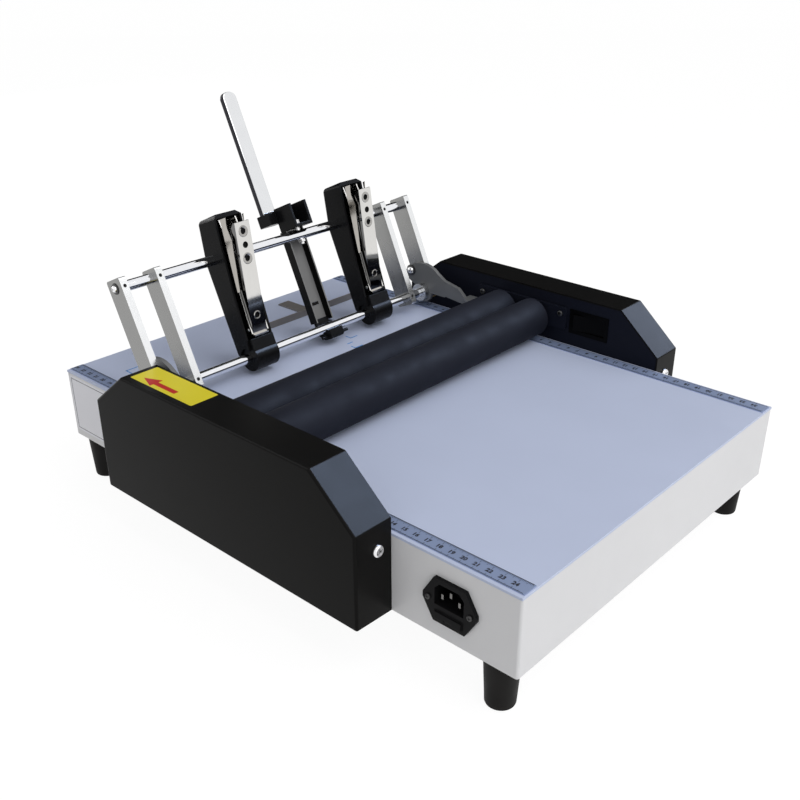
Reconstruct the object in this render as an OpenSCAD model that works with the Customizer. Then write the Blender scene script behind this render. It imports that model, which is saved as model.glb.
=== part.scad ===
// Electric booklet maker: a powered pair of fold rollers between two feed tables,
// with a swinging frame of two staplers behind them.
// X runs along the rollers, +Y to the infeed side, Z up, origin on the floor.

/* [Base] */
// Width of the base between the side frames
base_w = 344; // [320:1:380]
// Depth of the base, front to rear
base_d = 495; // [470:1:540]
// Height of the base, tables included
base_h = 62.5; // [60:0.5:72]
// Sheet thickness of the base walls
wall_t = 1.5; // [1:0.1:2.5]
// Thickness of the two tables
table_t = 2; // [1.5:0.1:3]
// Thickness of the bottom plate
bottom_t = 1.5; // [1:0.1:2.5]
// Width of the flanges folded in along the walls
flange_w = 12; // [8:0.5:16]
// Bend radius of the upright corners
corner_r = 2; // [1:0.5:5]
// Height of the feet
foot_h = 38.5; // [30:0.5:70]
// Diameter of a foot at the base
foot_top_d = 25.5; // [22:0.5:26]
// Diameter of a foot at the floor
foot_bottom_d = 21.5; // [16:0.5:22]
// Foot centre in from the side wall
foot_in_x = 13; // [13:0.5:40]
// Foot centre in from the end wall
foot_in_y = 21; // [15:0.5:40]

/* [Side covers] */
// Width of each side cover
cover_w = 34; // [30:0.5:45]
// Height of the side covers above the base's underside
cover_h = 109.5; // [104:0.5:125]
// Reach of the covers in front of the middle
cover_front = 142; // [130:1:170]
// Reach of the covers behind the middle
cover_rear = 144.5; // [140:0.5:170]
// Front slope, measured along the depth
front_slope_y = 40.3; // [25:0.1:50]
// Front slope, measured down
front_slope_z = 35; // [20:0.5:42]
// Rear slope, measured along the depth
rear_slope_y = 38.5; // [25:0.5:50]
// Rear slope, measured down
rear_slope_z = 30.5; // [15:0.5:36]
// Sheet thickness of the covers
cover_t = 1.5; // [1:0.1:2.5]
// Rounding of the covers' edges
cover_edge_r = 2; // [1:0.25:4]
// Thickness of the side frame plates
frame_t = 2; // [1.5:0.1:4]

/* [Fold rollers] */
// Diameter of the rubber sleeves
roller_d = 35.7; // [30:0.1:40]
// Running gap between the two sleeves
nip_gap = 0.3; // [0.2:0.05:1]
// Fold line behind the middle of the base
fold_y = 4; // [-10:1:15]
// Paper gap between a sleeve and the table
roller_lift = 2.9; // [2:0.1:5]
// Gap between a sleeve's end and the side frame
sleeve_gap = 8.5; // [8:0.5:25]
// Wall of the rubber sleeves
sleeve_wall = 5; // [3:0.5:7]
// Diameter of the roller journals
journal_d = 12; // [8:0.5:14]
// Radial running clearance of shafts
run_fit = 0.05; // [0.02:0.01:0.1]
// Radial clearance of pieces pressed or screwed together
seat_fit = 0.03; // [0.02:0.01:0.05]
// Thickness of the bearing plates
bearing_t = 3; // [2:0.5:4]
// Height of the bearing plates
bearing_h = 21; // [18:0.5:24]
// Bearing plates' middle above the roller axes
bearing_rise = 4.2; // [2:0.1:6]
// Bearing plate past the front roller's axis
bearing_front = 33; // [28:1:36]
// Bearing plate past the rear roller's axis
bearing_rear = 33; // [24:1:36]

/* [Gear train] */
// Teeth of each roller gear
roller_teeth = 24; // [22:1:28]
// Teeth of the idler gear
idler_teeth = 36; // [30:1:38]
// Teeth of the motor pinion
pinion_teeth = 16; // [16:1:20]
// Face width of the gears
gear_w = 10; // [8:0.5:14]
// Play between meshing teeth, along the pitch circle
gear_play = 0.2; // [0.15:0.05:0.4]
// Slope of the line from the rear roller down to the idler
idler_angle = -63.6; // [-75:0.1:-55]
// Slope of the line from the idler back to the pinion
pinion_angle = -17; // [-20:1:0]
// Diameter of the idler stud
stud_d = 10; // [8:0.5:12]
// Diameter of the pinion's shaft
pinion_shaft_d = 8; // [6:0.5:10]
// Diameter of the gear box on the motor
gearbox_d = 50; // [40:1:52]
// Length of the gear box
gearbox_len = 34; // [25:1:45]
// Diameter of the motor can
motor_d = 38; // [30:1:45]
// Length of the motor can
motor_len = 62; // [45:1:80]

/* [Folding knife] */
// Thickness of the knife blade
knife_t = 1.2; // [0.8:0.1:1.4]
// Knife ends in from the side walls
knife_in = 22; // [20:1:32]
// Gap between the solenoid and the knife carrier at rest
carrier_gap = 4.5; // [2:0.5:8]
// Width of the slot between the tables
knife_slot = 6; // [5:0.5:8]
// Knife edge below the tables' upper face at rest
knife_drop = 4.5; // [3.5:0.5:8]
// Depth of the knife carrier
carrier_d = 20; // [16:1:26]
// Sheet thickness of the knife carrier
carrier_t = 3; // [2:0.5:4]
// Diameter of the knife's guide rods
guide_d = 8; // [6:0.5:10]
// Guide rods out from the middle
guide_x = 110; // [80:1:130]
// Diameter of the solenoid's plunger
plunger_d = 9; // [7:0.5:12]
// Side of the solenoid's body
solenoid_w = 40; // [30:1:50]
// Height of the solenoid's body
solenoid_h = 20; // [16:1:22]

/* [Rulers and rear stop] */
// Width of a ruler strip
ruler_w = 12.5; // [10:0.5:16]
// Thickness of a ruler strip
ruler_t = 0.8; // [0.5:0.1:1.2]
// Ruler in from the table's side edge
ruler_in = 3.1; // [2:0.1:6]
// Ruler in from the tables' end edges
ruler_end = 1; // [0.5:0.5:4]
// Length of the rear stop's fence
fence_len = 126; // [100:1:140]
// Height of the rear stop's fence
fence_h = 6.5; // [4:0.5:7]
// Sheet thickness of the rear stop
fence_t = 1.5; // [1:0.1:2]
// Fence in front of the base's rear edge
fence_in = 61.5; // [55:0.5:70]
// Middle of the rear stop, out from the machine's middle
fence_x = 68; // [60:1:80]
// Width of the rear stop's tongue
tongue_w = 14; // [10:1:20]
// Length of the rear stop's tongue
tongue_len = 43; // [40:1:50]
// Width of the slot that guides the rear stop
stop_slot = 6; // [4:0.5:8]

/* [Power inlet and switch] */
// Width of the inlet's flange over its ears
inlet_w = 44; // [42:0.5:52]
// Height of the inlet's flange
inlet_h = 34; // [33:0.5:42]
// Flat length along the flange's upper and lower edges
inlet_flat = 26; // [24:0.5:30]
// Thickness of the inlet's flange
inlet_t = 3; // [2:0.5:4]
// Inlet centre behind the base's front edge
inlet_in = 53.5; // [45:0.5:80]
// Inlet centre above the base's underside
inlet_up = 31; // [26:0.5:34]
// Length of the inlet's body behind its flange
inlet_len = 26; // [22:1:32]
// Length of the switch opening
switch_len = 37.4; // [34:0.2:40]
// Height of the switch opening
switch_h = 19.8; // [18:0.2:22]
// Switch centre in front of the fold line
switch_in = 74.3; // [72:0.1:80]
// Switch centre above the base's underside
switch_up = 86.4; // [84:0.2:92]

/* [Stapling frame] */
// Diameter of the lower shaft and the upper rod
rod_d = 8.8; // [7:0.1:10]
// Height of the lower shaft above the tables
shaft_up = 16; // [15:0.5:22]
// Lower shaft behind the middle of the base
shaft_y = 117.6; // [110:0.1:124]
// Lean of the frame back from upright
frame_lean = 24.5; // [15:0.5:30]
// Distance between the lower shaft and the upper rod
rod_pitch = 88.4; // [80:0.1:96]
// Width of the four side bars
bar_w = 6.5; // [6:0.5:10]
// Depth of the four side bars
bar_d = 20; // [16:0.5:22]
// Gap between an outer bar and the side frame
bar_gap = 3; // [2.5:0.5:8]
// Distance between an outer and an inner bar
bar_pitch = 33.5; // [28:0.5:40]
// Diameter of the bars' set screw holes
set_hole_d = 3; // [2:0.25:4]
// Radius of the shaft levers' sector
lever_r = 29; // [24:0.5:30]
// Thickness of the shaft levers
lever_t = 4; // [3:0.5:5]
// Reach of the shaft levers in front of the lower shaft
lever_reach = 75.5; // [64:0.5:76]
// Length of the set collars on the lower shaft
collar_len = 6; // [5:0.5:12]
// Diameter of the set collars
collar_d = 17.5; // [13:0.5:18]

/* [Staplers] */
// Distance between the two staplers
stapler_pitch = 146.5; // [120:0.5:150]
// Both staplers' middle, out from the machine's middle
stapler_x = 15; // [0:0.5:20]
// Width of a stapler's shell
shell_w = 29; // [26:0.5:34]
// Wall of a stapler's shell
shell_t = 2; // [1.5:0.1:3]
// Length of a shell, from the lower shaft
shell_len = 122.5; // [112:0.5:128]
// Back of a shell behind the rods' plane
shell_back = 14; // [12:0.5:15]
// Height of a stapler's nose block above the shaft
nose_h = 15; // [12:0.5:15]
// Radius of the nose block's rounded end
nose_r = 12; // [8:0.5:13.5]
// Outer width of the magazine channel
magazine_w = 18.5; // [15:0.5:20]
// Sheet thickness of the magazine channel
magazine_t = 1.2; // [0.8:0.1:1.6]
// Depth of the staple lever's side walls
staple_lever_d = 7; // [5:0.5:8]
// Staple lever's tilt out of the shell
staple_lever_tilt = 16; // [14:0.5:22]
// Diameter of the staple levers' hinge pins
hinge_pin_d = 3; // [2.5:0.25:4]

/* [Handle] */
// Handle channel's middle, out from the machine's middle
handle_x = 28; // [12:0.5:32]
// Width of the handle channel
handle_w = 21; // [20:0.5:28]
// Sheet thickness of the handle channel
handle_t = 1.5; // [1:0.1:2.5]
// Width of the handle bar
grip_w = 15; // [12:0.5:18]
// Handle bar's middle, to the left of the channel's middle
grip_left = 9.5; // [0:0.5:10]
// Thickness of the handle bar
grip_t = 6; // [4:0.5:9]
// Upper end of the handle bar, from the lower shaft
grip_end = 228; // [190:1:250]
// Handle bar behind the rods' plane
grip_back = 23; // [21:0.5:25]
// Height of the handle bracket
bracket_h = 22; // [20:0.5:26]
// Wall of the handle bracket
bracket_t = 3; // [2:0.5:4]
// Diameter of the bolt through the upper rod
bolt_d = 4; // [3:0.5:4.5]

/* [Hidden] */
$fn = 48;
hull_fn = 24;
through = 1;

wall_x = base_w / 2;
rear_y = base_d / 2;
base_z = foot_h;
table_top = base_z + base_h;
table_under = table_top - table_t;
slot_front = fold_y - knife_slot / 2;
slot_rear = fold_y + knife_slot / 2;

sleeve_len = base_w - 2 * sleeve_gap;
roller_r = roller_d / 2;
roller_pitch = roller_d + nip_gap;
roller_z = table_top + roller_lift + roller_r;
front_roller_y = fold_y - roller_pitch / 2;
rear_roller_y = fold_y + roller_pitch / 2;
core_r = roller_r - sleeve_wall;

gear_gap = 4;
gear_x = -(wall_x + frame_t + gear_gap + gear_w);
tooth_m = roller_pitch / roller_teeth;
idler_reach = tooth_m * (roller_teeth + idler_teeth) / 2;
idler_y = rear_roller_y + idler_reach * cos(idler_angle);
idler_z = roller_z + idler_reach * sin(idler_angle);
pinion_reach = tooth_m * (idler_teeth + pinion_teeth) / 2;
pinion_y = idler_y + pinion_reach * cos(pinion_angle);
pinion_z = idler_z + pinion_reach * sin(pinion_angle);
motor_hole_d = pinion_shaft_d + 6;
stud_shank_d = stud_d * 0.6;
shaft_left_end = -gear_x + 3;
rear_gear_turn = 0;
front_gear_turn = mesh_turn(rear_gear_turn, roller_teeth, roller_teeth, 180);
idler_turn = mesh_turn(rear_gear_turn, roller_teeth, idler_teeth, idler_angle);
pinion_turn = mesh_turn(idler_turn, idler_teeth, pinion_teeth, pinion_angle);

knife_len = base_w - 2 * knife_in;
knife_top = table_top - knife_drop;
knife_hem = 2;
carrier_y = fold_y + knife_t / 2;
guide_y = carrier_y + carrier_d / 2 + carrier_t / 2;
solenoid_z = base_z + bottom_t;
carrier_z = solenoid_z + solenoid_h + carrier_gap;
knife_h = knife_top - carrier_z + knife_hem;

cover_fit = 0.1;
frame_in = cover_t + cover_fit;
stop_travel = 34;
stop_spare = 3;
outer_bar_x = wall_x - bar_gap - bar_w;
inner_bar_x = outer_bar_x - bar_pitch;
lever_x = outer_bar_x - lever_t;
collar_x = lever_x - collar_len;
bush_flange_t = 2;
bush_body_d = rod_d + 5;
bush_tail = 1;
rod_r = rod_d / 2;
shaft_z = table_top + shaft_up;

magazine_start = 19;
pin_along = 23;
pin_front = 7.5;
nose_fit = 0.1;
nose_w = shell_w - 2 * (shell_t + nose_fit);
lever_side_gap = 0.3;
staple_lever_w = magazine_w - 2 * (magazine_t + lever_side_gap);
lever_short = 2.5;
staple_lever_len = shell_len - pin_along - lever_short;
shell_bend = rod_pitch - 2;
shell_knee = 50;
knee_front = 10.6;
foot_flare = 4 / 42;
head_flare = 10.8 / 71;
head_in = 9;
bend_in = 0.6;
magazine_fit = 0.7;
magazine_tilt = 0.1;
magazine_end = shell_len - shell_t - 3;
channel_fit = 0.1;
handle_d = shell_back - rod_r - channel_fit;
handle_start = 7;
bracket_start = rod_pitch + rod_r + 2.2;
bracket_front = 11;
bracket_rear = 12;
tab_h = 11;
tab_wall = 2;
tab_w = grip_w + 2 * tab_wall;
tab_drop = 2;
socket_depth = 10;
stapler_left = stapler_x - stapler_pitch / 2;
stapler_right = stapler_x + stapler_pitch / 2;

inlet_y = -rear_y + inlet_in;
inlet_z = base_z + inlet_up;
body_h = inlet_h - 3;
inlet_wall = 1;
socket_w = inlet_flat - 2 * inlet_wall;
socket_h = 16.5;
socket_deep = 15;
socket_up = 5;
drawer_w = socket_w - inlet_wall;
drawer_h = 6.6;
drawer_deep = 20;
drawer_gap = 1;
drawer_down = 10.8;
slide_fit = 0.2;
fuse_d = 5.2;
fuse_len = 20;
fuse_in = 6;
switch_y = switch_in - fold_y;
switch_z = base_z + switch_up;
switch_wall = 2;
rocker_gap = 0.4;
rocker_pin_d = 3;
rocker_x = wall_x + 4;
rocker_tilt = 8;

black = [0.08, 0.08, 0.09];
grey = [0.52, 0.53, 0.55];
steel = [0.78, 0.79, 0.81];
white = [0.88, 0.88, 0.88];

// Shared shapes

// Extrudes a (y, z) outline along X
module along_x(x, len) {
    translate([x, 0, 0]) rotate([90, 0, 90]) linear_extrude(len) children();
}

// A round bar along X
module rod_x(d, x, len, y = 0, z = 0) {
    translate([x, y, z]) rotate([0, 90, 0]) cylinder(d = d, h = len);
}

// Places pieces in the stapling frame: X, distance behind the rods' plane, distance up from the shaft
module in_frame() {
    translate([0, shaft_y, shaft_z]) rotate([-frame_lean, 0, 0]) children();
}

// A rectangle with rounded corners
module rounded_rect(w, d, r) {
    square([w - 2 * r, d], center = true);
    square([w, d - 2 * r], center = true);
    for (sx = [-1, 1], sy = [-1, 1])
        translate([sx * (w / 2 - r), sy * (d / 2 - r)]) circle(r);
}

// Side profile of the covers, drawn in by a margin
module cover_profile(inset) {
    slope_f = inset * tan(atan2(front_slope_z, front_slope_y) / 2);
    slope_r = inset * tan(atan2(rear_slope_z, rear_slope_y) / 2);
    drop_f = inset * tan(atan2(front_slope_y, front_slope_z) / 2);
    drop_r = inset * tan(atan2(rear_slope_y, rear_slope_z) / 2);
    top = base_z + cover_h;
    polygon([
        [-cover_front + inset, base_z],
        [-cover_front + inset, top - front_slope_z - drop_f],
        [-cover_front + front_slope_y + slope_f, top - inset],
        [cover_rear - rear_slope_y - slope_r, top - inset],
        [cover_rear - inset, top - rear_slope_z - drop_r],
        [cover_rear - inset, base_z]
    ]);
}

// Base

module base_shell() {
    color(white) difference() {
        translate([0, 0, base_z])
            linear_extrude(base_h - table_t) rounded_rect(base_w, base_d, corner_r);
        translate([0, 0, base_z - through])
            linear_extrude(bottom_t + through)
                square([base_w - 2 * wall_t, base_d - 2 * wall_t], center = true);
        translate([0, 0, base_z - through])
            linear_extrude(base_h + 2 * through)
                square([base_w - 2 * flange_w, base_d - 2 * flange_w], center = true);
        translate([0, 0, base_z + bottom_t + wall_t])
            linear_extrude(base_h - table_t - bottom_t - 2 * wall_t)
                square([base_w - 2 * wall_t, base_d - 2 * wall_t], center = true);
        rod_x(motor_hole_d, -wall_x - through, wall_t + 2 * through, pinion_y, pinion_z);
        translate([-wall_x - through, inlet_y, inlet_z])
            along_x(0, wall_t + 2 * through)
                square([inlet_flat + 2 * slide_fit, body_h + 2 * slide_fit], center = true);
    }
}

module bottom_plate() {
    vent_len = 60;
    vent_w = 4;
    vent_pitch = 12;
    color(white) translate([0, 0, base_z]) linear_extrude(bottom_t) difference() {
        square([base_w - 2 * wall_t - slide_fit, base_d - 2 * wall_t - slide_fit], center = true);
        for (i = [-3:3])
            translate([wall_x / 2, i * vent_pitch - rear_y / 2]) square([vent_len, vent_w], center = true);
    }
}

module table_plate(y0, y1) {
    translate([-wall_x, y0, table_under]) cube([base_w, y1 - y0, table_t]);
}

module rear_table() {
    color([0.74, 0.75, 0.80]) difference() {
        table_plate(slot_rear, rear_y);
        translate([fence_x - stop_slot / 2, rear_y - fence_in - stop_travel, table_under - through])
            cube([stop_slot, stop_travel + tongue_len + stop_spare, table_t + 2 * through]);
    }
}

module front_table() {
    color([0.74, 0.75, 0.80]) table_plate(-rear_y, slot_front);
}

module feet() {
    sole_r = 2;
    sole_cut = 0.4;
    screw_d = 9;
    screw_h = 6;
    color(black)
        for (sx = [-1, 1], sy = [-1, 1])
            translate([sx * (wall_x - foot_in_x), sy * (rear_y - foot_in_y), 0])
                rotate_extrude() polygon([
                    [screw_d / 2, 0], [foot_bottom_d / 2 - sole_r, 0],
                    [foot_bottom_d / 2 - sole_cut, sole_r / 2], [foot_bottom_d / 2, sole_r],
                    [foot_top_d / 2, foot_h], [0, foot_h], [0, screw_h], [screw_d / 2, screw_h]
                ]);
}

// Side units

module side_frame(side) {
    x0 = side > 0 ? wall_x : -wall_x - frame_t;
    journal_hole_d = journal_d + 2;
    color(black) difference() {
        along_x(x0, frame_t) cover_profile(frame_in);
        for (y = [front_roller_y, rear_roller_y])
            rod_x(journal_hole_d, x0 - through, frame_t + 2 * through, y, roller_z);
        rod_x(bush_body_d, x0 - through, frame_t + 2 * through, shaft_y, shaft_z);
        if (side < 0) {
            rod_x(motor_hole_d, x0 - through, frame_t + 2 * through, pinion_y, pinion_z);
            rod_x(stud_shank_d + 2 * seat_fit, x0 - through, frame_t + 2 * through, idler_y, idler_z);
        }
        if (side > 0)
            translate([x0 - through, -switch_y - switch_len / 2, switch_z - switch_h / 2])
                cube([frame_t + 2 * through, switch_len, switch_h]);
    }
}

module left_side_frame() side_frame(-1);
module right_side_frame() side_frame(1);

// A folded sheet cover, open towards the machine and below
module cover(side) {
    r = cover_edge_r;
    top = base_z + cover_h;
    corners = [
        [-cover_front + r, base_z + r],
        [-cover_front + r, top - front_slope_z - r * 0.5],
        [-cover_front + front_slope_y + r * 0.4, top - r],
        [cover_rear - rear_slope_y - r * 0.4, top - r],
        [cover_rear - r, top - rear_slope_z - r * 0.5],
        [cover_rear - r, base_z + r]
    ];
    color(black) mirror([side > 0 ? 0 : 1, 0, 0]) difference() {
        hull() {
            for (c = corners) {
                translate([wall_x + cover_w - r, c[0], c[1]]) sphere(r, $fn = hull_fn);
                rod_x(2 * r, wall_x, 1, c[0], c[1], $fn = hull_fn);
            }
            translate([wall_x, -cover_front, base_z]) cube([1, cover_front + cover_rear, 1]);
            translate([wall_x, -cover_front + r, base_z])
                cube([cover_w - r, cover_front + cover_rear - 2 * r, 1]);
        }
        along_x(wall_x - through, cover_w - cover_t + through) cover_profile(cover_t);
        translate([wall_x - through, -cover_front + cover_t, base_z - through])
            cube([cover_w - cover_t + through, cover_front + cover_rear - 2 * cover_t, 2 * through]);
    }
}

module left_cover() cover(-1);
module right_cover() cover(1);

// A plate on the side frame's inner face that carries both roller journals
module bearing_plate(side) {
    x0 = side > 0 ? wall_x - bearing_t : -wall_x;
    edge_r = 3;
    color(black) difference() {
        along_x(x0, bearing_t)
            translate([
                (front_roller_y - bearing_front + rear_roller_y + bearing_rear) / 2,
                roller_z + bearing_rise
            ])
            rounded_rect(roller_pitch + bearing_front + bearing_rear, bearing_h, edge_r);
        for (y = [front_roller_y, rear_roller_y])
            rod_x(journal_d + 2 * run_fit, x0 - through, bearing_t + 2 * through, y, roller_z);
    }
}

module left_bearing_plate() bearing_plate(-1);
module right_bearing_plate() bearing_plate(1);

module ruler(side) {
    x0 = side > 0 ? wall_x - ruler_in - ruler_w : -wall_x + ruler_in;
    color([0.24, 0.28, 0.36])
        translate([x0, -rear_y + ruler_end, table_top]) cube([ruler_w, base_d - 2 * ruler_end, ruler_t]);
}

module left_ruler() ruler(-1);
module right_ruler() ruler(1);

// A standing fence on a tongue, with a key that runs in the rear table's slot
module rear_stop() {
    y0 = rear_y - fence_in;
    key_w = stop_slot - 2 * slide_fit;
    key_len = 25;
    key_start = 6;
    key_deep = 1;
    foot_w = 9;
    color(grey) {
        translate([fence_x - fence_len / 2, y0, table_top]) cube([fence_len, fence_t, fence_h]);
        translate([fence_x - fence_len / 2, y0, table_top]) cube([fence_len, foot_w, fence_t]);
        translate([fence_x - tongue_w / 2, y0, table_top]) cube([tongue_w, tongue_len, fence_t]);
        translate([fence_x - key_w / 2, y0 + key_start, table_under - key_deep])
            cube([key_w, key_len, key_deep + table_t + fence_t / 2]);
    }
}

// Fold rollers and their drive

module roller_shaft(y, left_end) {
    tail = 5;
    right_end = wall_x + frame_t + tail;
    core_len = sleeve_len - 2;
    color(steel) {
        rod_x(journal_d, -left_end, left_end + right_end, y, roller_z);
        rod_x(2 * core_r, -core_len / 2, core_len, y, roller_z);
    }
}

module front_roller_shaft() roller_shaft(front_roller_y, shaft_left_end);
module rear_roller_shaft() roller_shaft(rear_roller_y, shaft_left_end);

module roller_sleeve(y) {
    color([0.13, 0.13, 0.16]) difference() {
        rod_x(roller_d, -sleeve_len / 2, sleeve_len, y, roller_z);
        rod_x(2 * (core_r + seat_fit), -sleeve_len / 2 - through, sleeve_len + 2 * through, y, roller_z);
    }
}

module front_roller_sleeve() roller_sleeve(front_roller_y);
module rear_roller_sleeve() roller_sleeve(rear_roller_y);

// Involute outline of a spur gear, with one tooth centred at the angle turn
function involute(r, rb) = r <= rb ? 0 : sqrt(r * r / (rb * rb) - 1) * 180 / PI - acos(rb / r);
function polar(r, a) = [r * cos(a), r * sin(a)];
module gear_outline(teeth, turn) {
    pressure_angle = 20;
    root_deep = 1.25;
    tip_high = 0.92;
    pitch_r = tooth_m * teeth / 2;
    base_r = pitch_r * cos(pressure_angle);
    root_r = pitch_r - root_deep * tooth_m;
    tip_r = pitch_r + tip_high * tooth_m;
    half = 90 / teeth - gear_play / 2 / pitch_r * 90 / PI + involute(pitch_r, base_r);
    radii = [root_r, max(root_r, base_r) * 0.7 + pitch_r * 0.3, (pitch_r + tip_r) / 2, tip_r];
    polygon([
        for (k = [0:teeth - 1], i = [0:7])
            let (
                r = i < 4 ? radii[i] : radii[7 - i],
                lean = half - involute(r, base_r)
            )
            polar(r, turn + k * 360 / teeth + (i < 4 ? -lean : lean))
    ]);
}

// Turn that brings a gear's tooth gap onto a neighbour's tooth along a line at the angle line
function mesh_turn(turn, teeth, own_teeth, line) =
    line + 180 - (turn - line) * teeth / own_teeth + 180 / own_teeth;

module gear(y, z, teeth, turn, bore) {
    web_w = 3;
    hub_wall = 5;
    rim_t = 4;
    hub_d = bore + 2 * hub_wall;
    rim_r = tooth_m * teeth / 2 - rim_t;
    difference() {
        translate([0, y, z]) along_x(gear_x, gear_w) gear_outline(teeth, turn);
        rod_x(bore, gear_x - through, gear_w + 2 * through, y, z);
        if (rim_r > hub_d / 2 + web_w)
            translate([gear_x - through, y, z]) rotate([0, 90, 0]) difference() {
                cylinder(r = rim_r, h = gear_w - web_w + through);
                cylinder(d = hub_d, h = gear_w);
            }
    }
}

module front_roller_gear()
    color(steel) gear(front_roller_y, roller_z, roller_teeth, front_gear_turn, journal_d + 2 * seat_fit);

module rear_roller_gear()
    color(steel) gear(rear_roller_y, roller_z, roller_teeth, rear_gear_turn, journal_d + 2 * seat_fit);

module idler_gear()
    color([0.86, 0.84, 0.78]) gear(idler_y, idler_z, idler_teeth, idler_turn, stud_d + 2 * run_fit);

// A shouldered stud, held by its shank in the left side frame
module idler_stud() {
    head_t = 2;
    head_d = stud_d + 5;
    play = 0.3;
    inner_x = -wall_x - frame_t;
    color(steel) {
        rod_x(stud_d, gear_x - play, inner_x - gear_x + play, idler_y, idler_z);
        rod_x(head_d, gear_x - play - head_t, head_t, idler_y, idler_z);
        rod_x(head_d, gear_x + gear_w + play, inner_x - gear_x - gear_w - play, idler_y, idler_z);
        rod_x(stud_shank_d, inner_x, frame_t, idler_y, idler_z);
    }
}

module drive_pinion() {
    tail = 12;
    color(steel) {
        translate([0, pinion_y, pinion_z]) along_x(gear_x, gear_w) gear_outline(pinion_teeth, pinion_turn);
        rod_x(pinion_shaft_d, gear_x, -wall_x + wall_t + tail - gear_x, pinion_y, pinion_z);
    }
}

// A gear motor on the base's left wall
module drive_motor() {
    x0 = -wall_x + wall_t;
    bore_deep = 14;
    cap_d = 16;
    cap_len = 5;
    color(steel) difference() {
        union() {
            rod_x(gearbox_d, x0, gearbox_len, pinion_y, pinion_z);
            rod_x(motor_d, x0 + gearbox_len, motor_len, pinion_y, pinion_z);
            rod_x(cap_d, x0 + gearbox_len + motor_len, cap_len, pinion_y, pinion_z);
        }
        rod_x(pinion_shaft_d + 2 * run_fit, x0 - through, bore_deep + through, pinion_y, pinion_z);
    }
}

// Folding knife under the tables

module folding_knife() {
    notch_w = 30;
    notch_h = 2;
    color(steel) difference() {
        translate([-knife_len / 2, fold_y - knife_t / 2, knife_top - knife_h])
            cube([knife_len, knife_t, knife_h]);
        for (s = [-1, 1])
            translate([s * guide_x - notch_w / 2, fold_y - knife_t, knife_top - knife_h - through])
                cube([notch_w, 2 * knife_t, notch_h + through]);
    }
}

module knife_carrier() {
    web_h = 12;
    end_in = 5;
    len = knife_len - 2 * end_in;
    color(grey) difference() {
        translate([-len / 2, carrier_y, carrier_z]) {
            cube([len, carrier_d, carrier_t]);
            cube([len, carrier_t, web_h]);
        }
        for (s = [-1, 1])
            translate([s * guide_x, guide_y, carrier_z - through])
                cylinder(d = guide_d + 2 * run_fit, h = carrier_t + 2 * through);
    }
}

module knife_plunger() {
    deep = 16;
    color(steel) translate([0, guide_y, solenoid_z + solenoid_h - deep])
        cylinder(d = plunger_d, h = carrier_z - solenoid_z - solenoid_h + deep);
}

module knife_guides() {
    collar_h = 4;
    collar_wall = 4;
    top_gap = 0.3;
    color(steel)
        for (s = [-1, 1])
            translate([s * guide_x, guide_y, base_z + bottom_t]) {
                cylinder(d = guide_d, h = base_h - table_t - bottom_t - top_gap);
                cylinder(d = guide_d + 2 * collar_wall, h = collar_h);
            }
}

module knife_solenoid() {
    end_t = 2;
    bore_h = solenoid_h - end_t;
    color(grey) difference() {
        translate([-solenoid_w / 2, guide_y - solenoid_w / 2, solenoid_z])
            cube([solenoid_w, solenoid_w, solenoid_h]);
        translate([0, guide_y, solenoid_z + solenoid_h - bore_h])
            cylinder(d = plunger_d + 2 * run_fit, h = bore_h + through);
    }
}

// Power inlet, switch and control board

module power_inlet() {
    x0 = -wall_x - inlet_t;
    ear = 2;
    chamfer = 4;
    color(black) translate([0, inlet_y, inlet_z]) difference() {
        union() {
            along_x(x0, inlet_t) polygon([
                [-inlet_w / 2, -ear], [-inlet_w / 2, ear], [-inlet_flat / 2, inlet_h / 2],
                [inlet_flat / 2, inlet_h / 2], [inlet_w / 2, ear], [inlet_w / 2, -ear],
                [inlet_flat / 2, -inlet_h / 2], [-inlet_flat / 2, -inlet_h / 2]
            ]);
            along_x(-wall_x, inlet_len) square([inlet_flat, body_h], center = true);
        }
        translate([0, 0, socket_up]) along_x(x0 - through, socket_deep + through) polygon([
            [-socket_w / 2, -socket_h / 2], [socket_w / 2, -socket_h / 2],
            [socket_w / 2, socket_h / 2 - chamfer], [socket_w / 2 - chamfer, socket_h / 2],
            [-socket_w / 2 + chamfer, socket_h / 2], [-socket_w / 2, socket_h / 2 - chamfer]
        ]);
        translate([0, 0, -drawer_down]) along_x(x0 - through, drawer_deep + drawer_gap + through)
            square([drawer_w + 2 * slide_fit, drawer_h + 2 * slide_fit], center = true);
    }
}

module inlet_pins() {
    pin_w = 2;
    pin_h = 4;
    pin_len = 13;
    pin_out = 7;
    pin_up = 2;
    back_x = -wall_x - inlet_t + socket_deep;
    color(steel) translate([0, inlet_y, inlet_z + socket_up])
        for (p = [[-pin_out, -pin_up], [0, pin_up], [pin_out, -pin_up]])
            translate([back_x - pin_len, p[0] - pin_w / 2, p[1] - pin_h / 2]) cube([pin_len, pin_w, pin_h]);
}

module fuse_drawer() {
    lip = 1.5;
    lip_in = 0.5;
    notch_w = 6;
    notch_h = 2;
    x0 = -wall_x - inlet_t;
    color(black) translate([0, inlet_y, inlet_z - drawer_down]) difference() {
        union() {
            along_x(x0, drawer_deep) square([drawer_w, drawer_h], center = true);
            along_x(x0 - lip, lip) square([drawer_w - 2 * lip_in, drawer_h - 2 * lip_in], center = true);
        }
        translate([x0 + fuse_in, -fuse_len / 2 - slide_fit, -fuse_d / 2 - seat_fit])
            cube([fuse_d + 2 * seat_fit, fuse_len + 2 * slide_fit, drawer_h]);
        translate([x0 - lip - through, -notch_w / 2, -drawer_h / 2 - through])
            cube([lip / 2 + through, notch_w, notch_h + through]);
    }
}

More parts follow.
